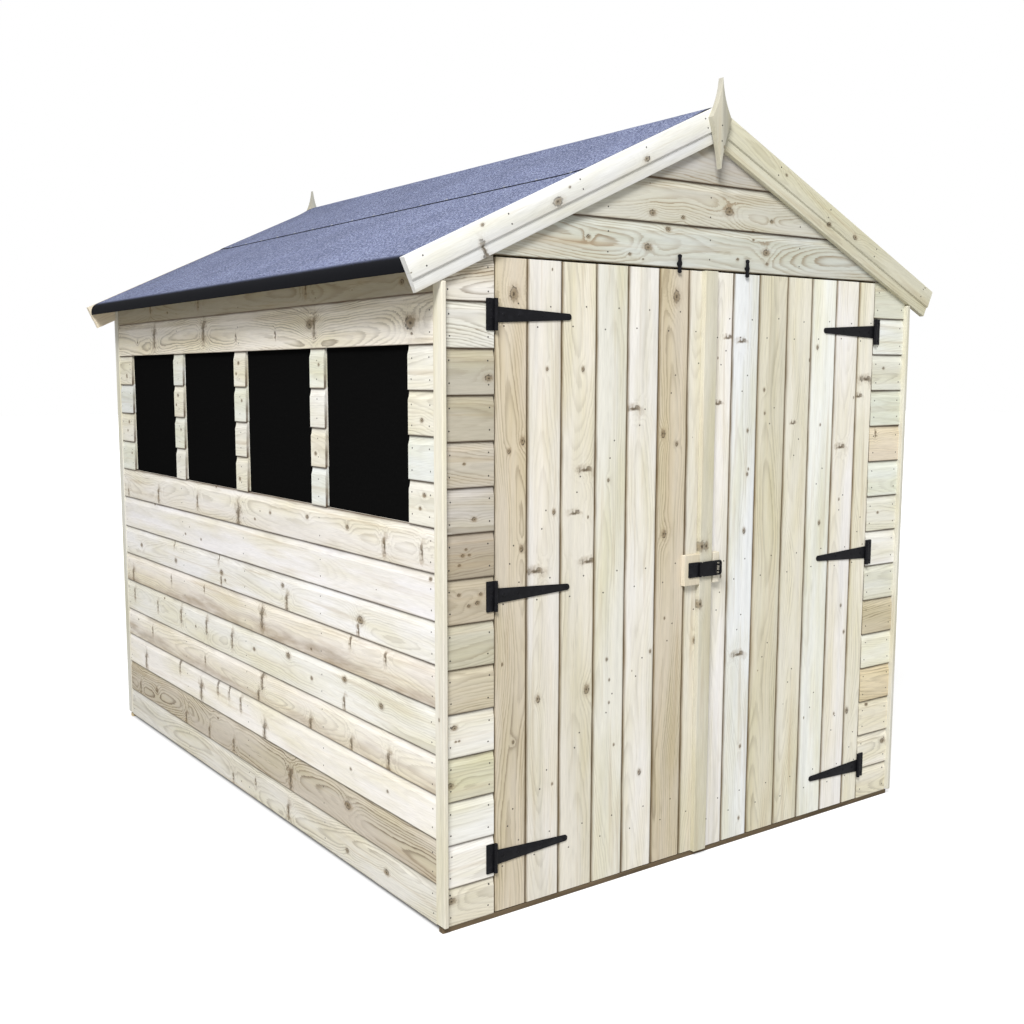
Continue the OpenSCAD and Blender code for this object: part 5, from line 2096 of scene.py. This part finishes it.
@dataclass
class Stage:
    """A pale floor, a white surround, a soft lamp and the camera."""

    eye: tuple[float, float, float] = (-2.4893, -3.6731, 1.434)
    turn: float = 35.17
    tilt: float = 7.11
    lens: float = 41.72
    shift: tuple[float, float] = (0.02075, 0.0114)
    sky: float = 0.46
    lift: float = 0.62
    key: float = 1150.0
    key_size: float = 3.0
    key_spot: tuple[float, float, float] = (-5.2, -5.4, 7.6)
    key_aim: tuple[float, float, float] = (0.0, 0.0, 1.0)
    floor_reach: float = 40.0

    def build(self) -> None:
        """Builds the floor, the world, the lamp and the camera."""
        floor, reach = Stack(), self.floor_reach
        corners = [[-reach, -reach, 0], [reach, -reach, 0], [reach, reach, 0], [-reach, reach, 0]]
        floor.add(np.array(corners, dtype=float), [[0, 1, 2, 3]])
        floor.build("studio_floor", self.floor_paint())
        self.surround()
        self.lamp("key_lamp")
        camera = bpy.data.cameras.new("camera")
        camera.lens = self.lens
        camera.sensor_width = 36.0
        camera.shift_x, camera.shift_y = self.shift
        camera.clip_end = 200.0
        holder = bpy.data.objects.new("camera", camera)
        holder.location = self.eye
        holder.rotation_euler = (math.radians(90.0 - self.tilt), 0.0, math.radians(-self.turn))
        bpy.context.scene.collection.objects.link(holder)
        bpy.context.scene.camera = holder
        bpy.context.scene.view_settings.view_transform = "Standard"

    def seen_rays(self, g: Graph) -> Any:
        """Adds 1 for rays that see the stage: from the camera, or by way of gloss or glass.

        Args:
            g: The graph of the floor or the world.

        Returns:
            The socket.
        """
        rays = g.add("LightPath", out="Is Camera Ray")
        seen = g.add("Math", [rays, rays.node.outputs["Is Glossy Ray"]], operation="MAXIMUM")
        return g.add("Math", [seen, rays.node.outputs["Is Transmission Ray"]], operation="MAXIMUM")

    def floor_paint(self) -> bpy.types.Material:
        """White painted floor. It keeps shadows, and seen rays find it lifted to white away from them.

        It stays dark under the building, within its footprint of 1.85 by 2.45 m.

        Returns:
            The floor's material.
        """
        g = Graph("white_studio_floor")
        seen = self.seen_rays(g)
        place = g.add("TexCoord", out="Object")
        reach = g.add("VectorMath", [place], operation="ABSOLUTE")
        under = g.add("VectorMath", [reach, (1.08, 0.815, 1.0)], operation="MULTIPLY")
        side = g.add("SeparateXYZ", [under])
        widest = g.add("Math", [side, side.node.outputs[1]], operation="MAXIMUM")
        near = g.add("MapRange", [widest, 0.96, 1.0, 0.0, self.lift])
        away = g.add("VectorMath", [place], out=1, operation="LENGTH")
        far = g.add("MapRange", [away, 2.5, 7.0, 0.0, 0.5])
        lift = g.add("Math", [near, far], operation="ADD")
        lift = g.add("Math", [seen, lift], operation="MULTIPLY")
        matt = g.add("BsdfDiffuse", {"Color": linear("#C4C4C4")})
        glow = g.add("Emission", {"Color": (1.0, 1.0, 1.0, 1.0), "Strength": lift})
        g.add("OutputMaterial", [g.add("AddShader", [matt, glow])])
        return g.owner

    def surround(self) -> None:
        """Fills the world with soft white light, and with plain white where it is seen."""
        g = Graph("white_surround", world=True)
        seen = self.seen_rays(g)
        strength = g.add("MapRange", [seen, 0.0, 1.0, self.sky, 1.0])
        light = g.add("Background", {"Color": (1.0, 1.0, 1.0, 1.0), "Strength": strength})
        g.add("OutputWorld", [light])
        bpy.context.scene.world = g.owner

    def lamp(self, name: str) -> None:
        """Hangs the square soft lamp, turned from its place towards its aim.

        Args:
            name: Its name.
        """
        lamp = bpy.data.lights.new(name, "AREA")
        lamp.size = self.key_size
        lamp.energy = self.key
        obj = bpy.data.objects.new(name, lamp)
        outward = unit(np.array(self.key_spot) - np.array(self.key_aim))
        obj.location = self.key_spot
        obj.rotation_euler = (math.acos(outward[2]), 0.0, math.atan2(outward[0], -outward[1]))
        bpy.context.scene.collection.objects.link(obj)


LEFT_JOINTS = (-0.6455, -0.533, -0.415, -0.303, -0.189, -0.076)
RIGHT_JOINTS = (0.102, 0.2125, 0.336, 0.447, 0.562, 0.6716)
LEFT_HINGES = (0.168, 0.871, 1.586)
RIGHT_HINGES = (0.131, 0.857, 1.573)

# The boards from the bottom up or from the left
LEFT_WALL_LOOKS = (
    Look("#D7D4C9", 0.55, 0, rounds((0.26, -0.005, 8), (0.49, -0.02, 7)) + spikes((0.88, -0.02, 9), (1.32,
        -0.035, 6), (1.13, 0, 5))),
    Look("#C4BCAC", 1, 0.25, rounds((0.48, 0.005, 12), (2.08, -0.005, 9)) + spikes((0.86, -0.025, 11),
        (1.31, -0.03, 8), (1.53, -0.04, 8), (1.76, -0.04, 9), (2.27, -0.03, 8))),
    Look("#E8E4DB", 0.12, 0, rounds((0.25, -0.005, 4), (0.46, 0, 4)) + spikes((1.05, -0.035, 11), (1.24,
        0.015, 8), (1.34, 0.035, 7), (1.44, 0.03, 8), (1.6, -0.02, 12), (1.81, 0.03, 8), (2.19, -0.02,
        11))),
    Look("#E8E3D7", 0.35, 0.8, spikes((0.24, -0.03, 9), (0.45, -0.04, 8), (0.71, -0.045, 9), (1.06, 0.02,
        10), (1.09, -0.04, 9), (1.55, -0.01, 5), (2.1, 0, 6))),
    Look("#E2E0D6", 0.3, 0, rounds((0.28, 0, 8), (0.49, 0.03, 8), (0.86, 0.028, 9), (0.7, -0.01, 5), (1.12,
        0, 6)) + spikes((0.49, -0.04, 7), (1.3, 0, 9), (1.53, 0.005, 9), (1.78, 0.005, 9), (2.03, 0, 7),
        (2.3, 0.01, 8))),
    Look("#E5DFD4", 0.3, 0.9, spikes((0.25, 0.02, 6), (0.45, 0.03, 6), (1.05, 0, 12), (1.54, 0.02, 4),
        (1.87, 0.01, 5), (2.31, -0.03, 10))),
    Look("#E4E2DD", 0.25, 0, rounds((0.39, -0.008, 11), (0.89, 0.017, 7), (1.38, -0.008, 8), (1.82, -0.023,
        8), (2.2, -0.008, 7)) + spikes((0.4, -0.04, 7), (0.86, -0.03, 9), (1.4, 0.04, 6), (1.38, -0.04, 6),
        (1.83, 0.04, 5))),
    Look("#E3E0DC", 0.12, 0, rounds((1.56, -0.03, 4))),
    Look("#E2DED5", 0.4, 0.2, rounds((0.46, 0.012, 6), (0.71, 0.017, 6), (0.97, 0.005, 4)) + spikes((0.06,
        -0.01, 7), (0.25, -0.015, 8), (1.22, -0.03, 13), (1.58, -0.01, 8), (1.98, -0.02, 9), (2.33, -0.04,
        6))),
)
HEADER_LOOKS = (
    Look("#E8E2D4", 0.75, 0, rounds((0.11, -0.01, 16), (0.67, 0.005, 13)) + spikes((0.64, 0, 9), (1.48,
        0.01, 12), (1.97, 0, 12), (0.9, -0.02, 4), (1.2, -0.02, 4))),
    # The upper header board lies under the eave; its darker colour is painted shade from the eave
    Look("#A59E8A", 0.6, 0, rounds((0.15, -0.02, 7)) + spikes((0.69, 0, 8), (1.52, 0, 8), (2, 0.01, 9))),
)
LEFT_STUB_LOOKS = (
    Look("#D6D1C1", 0.4, 0, rounds((0.016, 0.015, 9))),
    Look("#E8E6E2", 0.2),
    Look("#E1E0D8", 0.2),
    Look("#CECCB6", 0.35, 0.2, rounds((0.016, -0.015, 7))),
    Look("#DEDCD4", 0.2, 0, rounds((0.028, 0.02, 6), (0.032, -0.017, 2.5), (0.042, -0.017, 2.5))),
    Look("#C4BCA8", 0.5, 0.2),
    Look("#BEBAA7", 0.4),
    Look("#B5AB97", 0.5, 0, rounds((0.043, 0.016, 4), (0.073, -0.015, 4), (0.11, 0.012, 4), (0.1, -0.01,
        5))),
    Look("#A69C8B", 0.5, 0, rounds((0.055, 0, 4), (0.075, 0, 3), (0.065, 0.015, 3))),
    Look("#BCB7AF", 0.4, 0, rounds((0.09, -0.025, 5))),
    Look("#BAB4A8", 0.5, 0.1, rounds((0.06, 0, 3))),
    Look("#AEA794", 0.4),
    Look("#B1AC9C", 0.4, 0.1, rounds((0.135, -0.018, 8))),
    Look("#D2D1C8", 0.9),
    Look("#D4D0C7", 1),
)
RIGHT_STUB_LOOKS = (
    Look("#E4DFCD", 0.4),
    Look("#EEEADC", 0.3, 0, rounds((0.13, 0.015, 8))),
    Look("#E7E1CB", 0.3),
    Look("#E2D5B5", 0.7, 0.2),
    Look("#E9E8D7", 0.2),
    Look("#CCC2A6", 0.7, 0.1),
    Look("#DDDDCF", 0.3),
    Look("#ECEBE4", 0.2),
    Look("#E3E2D4", 0.3, 0, rounds((0.055, 0, 3.5))),
    Look("#E0E3D7", 0.2),
    Look("#E4D9C3", 0.4, 0.2, spikes((0.025, 0.03, 4))),
    Look("#D9DCCC", 0.3),
    Look("#DADACB", 0.3, 0, rounds((0.055, 0.012, 4))),
    Look("#E5E7E0", 0.2),
    Look("#D1D1BF", 0.3),
)
LEFT_DOOR_LOOKS = (
    Look("#C7BDA9", 0.75, 0, rounds((1.62, 0.005, 13), (1.25, 0.033, 7), (1.225, -0.01, 5), (0.97, 0.03,
        6), (0.455, 0.005, 4))),
    Look("#D6D2C8", 0.3, 0, rounds((1.435, 0.005, 4), (1.06, 0.03, 5), (0.56, -0.02, 7), (0.315, 0.03, 3))
        + spikes((0.905, -0.03, 9))),
    Look("#D9D4C5", 0.35, 0, rounds((1.435, 0.01, 5), (0.56, 0.033, 9)) + spikes((1.165, 0.022, 8), (1.05,
        -0.015, 6), (0.915, 0.035, 8))),
    Look("#D8D6C9", 0.3, 0, rounds((1.135, -0.012, 4), (0.635, -0.01, 4), (0.575, 0, 3), (0.51, 0, 3),
        (0.385, 0.02, 3))),
    Look("#DEDBD2", 0.3, 0, rounds((0.285, 0.005, 6), (0.635, 0.04, 4)) + spikes((1.325, -0.035, 8))),
    Look("#C8BEA9", 0.7, 0, rounds((1.635, 0.005, 12), (1.255, -0.038, 8), (1.225, 0.015, 5), (0.97,
        -0.028, 8), (0.725, -0.02, 3))),
    Look("#D7D3C5", 0.3, 0, rounds((0.645, 0, 7))),
)
RIGHT_DOOR_LOOKS = (
    Look("#E5E2DB", 0.25, 0, spikes((1.525, 0.015, 5), (1.335, -0.02, 5))),
    Look("#E0E2DF", 0.3, 0, rounds((1.255, 0.015, 4), (1.125, 0.018, 4), (1.14, 0.022, 3), (0.955, 0.01,
        6), (0.285, 0.018, 4), (0.055, 0.02, 4)) + spikes((1.515, -0.02, 6), (0.575, 0, 8))),
    Look("#D2CDB8", 0.55, 0, rounds((1.375, -0.035, 4), (1.305, -0.03, 3))),
    Look("#DDD9C8", 0.45, 0, spikes((1.27, -0.02, 4))),
    Look("#E7E8DF", 0.2, 0, rounds((0.955, 0.005, 5), (1.505, -0.03, 5), (1.265, -0.005, 3))),
    Look("#E9E6DF", 0.25, 0, rounds((0.675, 0.015, 4), (0.585, 0.035, 4), (0.315, 0, 3)) + spikes((1.19,
        -0.015, 7))),
    Look("#E5E1D0", 0.4, 0, rounds((0.315, -0.025, 7)) + spikes((1.405, 0.01, 10), (1.35, -0.025, 6))),
)
GABLE_LOOKS = (
    Look("#C3C5BB", 1, 0, rounds((1.08, 0.033, 3), (1.135, 0, 9), (1.14, -0.032, 4), (0.665, -0.012, 9),
        (0.455, 0.003, 5), (0.6, -0.034, 4))),
    Look("#C2C0B2", 0.9, 0, rounds((0.75, -0.012, 11), (0.455, -0.038, 8), (0.57, -0.042, 5), (0.93,
        -0.027, 5))),
    Look("#B3B0A8", 0.8),
)
STRIP_LOOKS = (
    Look("#C9C5B3", 0.5, 0, rounds((0.925, -0.018, 11), (0.925, 0, 9), (0.755, -0.02, 9), (0.38, 0, 9),
        (0.465, 0.013, 4), (0.205, 0.02, 4))),
    Look("#CFC6B2", 0.35),
    Look("#D6CFBC", 0.3),
)
CORNER_LOOKS = (
    Look("#D8D4C5", 0.25, 0.2, rounds((0.55, 0.004, 3))),
    Look("#CECCC0", 0.25),
    Look("#CECCC0", 0.25),
    Look("#CECCC0", 0.25),
)
BARGE_LOOKS = (
    Look("#D8D8D3", 0.25, 0, rounds((0.31, 0, 7), (0.64, -0.002, 11), (0.885, -0.032, 4), (0.59, -0.022,
        3)) + spikes((0.9, 0.028, 9))),
    Look("#CCC9B3", 1, 0, rounds((0.33, -0.02, 4), (0.565, 0.012, 6), (0.69, -0.01, 7))),
)
PIER_LOOKS = (
    Look("#DCD9CC", 0.25, 0, rounds((0.05, 0.02, 5), (0.07, -0.015, 4))),
    Look("#D6D8D1", 0.2),
    Look("#DAD6C6", 0.4, 0, rounds((0.06, -0.02, 5))),
    Look("#DEDCD3", 0.25),
    Look("#D8D9CC", 0.2, 0, rounds((0.03, 0.01, 4))),
)
BEARER_LOOKS = (
    Look("#554D45", 0.6, 0.5),
)
FINIAL_LOOK = Look("#B0AEA2", 0.3, 0, rounds((0.06, 0.01, 3)))


def main() -> None:
    """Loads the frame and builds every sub-assembly in order."""
    logging.basicConfig(level=logging.INFO, format="%(name)s: %(message)s")
    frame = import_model()
    cad_nodes.update(frame["nodes"])
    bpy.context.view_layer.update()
    shop = Workshop(Paints())
    assemblies: Iterable[Any] = (
        FrontWall(shop), SideWalls(shop), BackWall(shop), Timbers(shop), Planking(shop), Windows(shop),
        Roof(shop), GableTrim(shop),
        Door(shop, Side.LEFT, LEFT_JOINTS, LEFT_HINGES, LEFT_DOOR_LOOKS),
        Door(shop, Side.RIGHT, RIGHT_JOINTS, RIGHT_HINGES, RIGHT_DOOR_LOOKS),
        DoorTrim(shop), Latch(shop), TurnButtons(shop), Stage(),
    )
    for assembly in assemblies:
        assembly.build()
        LOG.info("%s done", type(assembly).__name__)
    StrapHinges(shop, Side.LEFT, LEFT_HINGES).build("left_door")
    StrapHinges(shop, Side.RIGHT, RIGHT_HINGES).build("right_door")


if __name__ == "__main__":
    main()
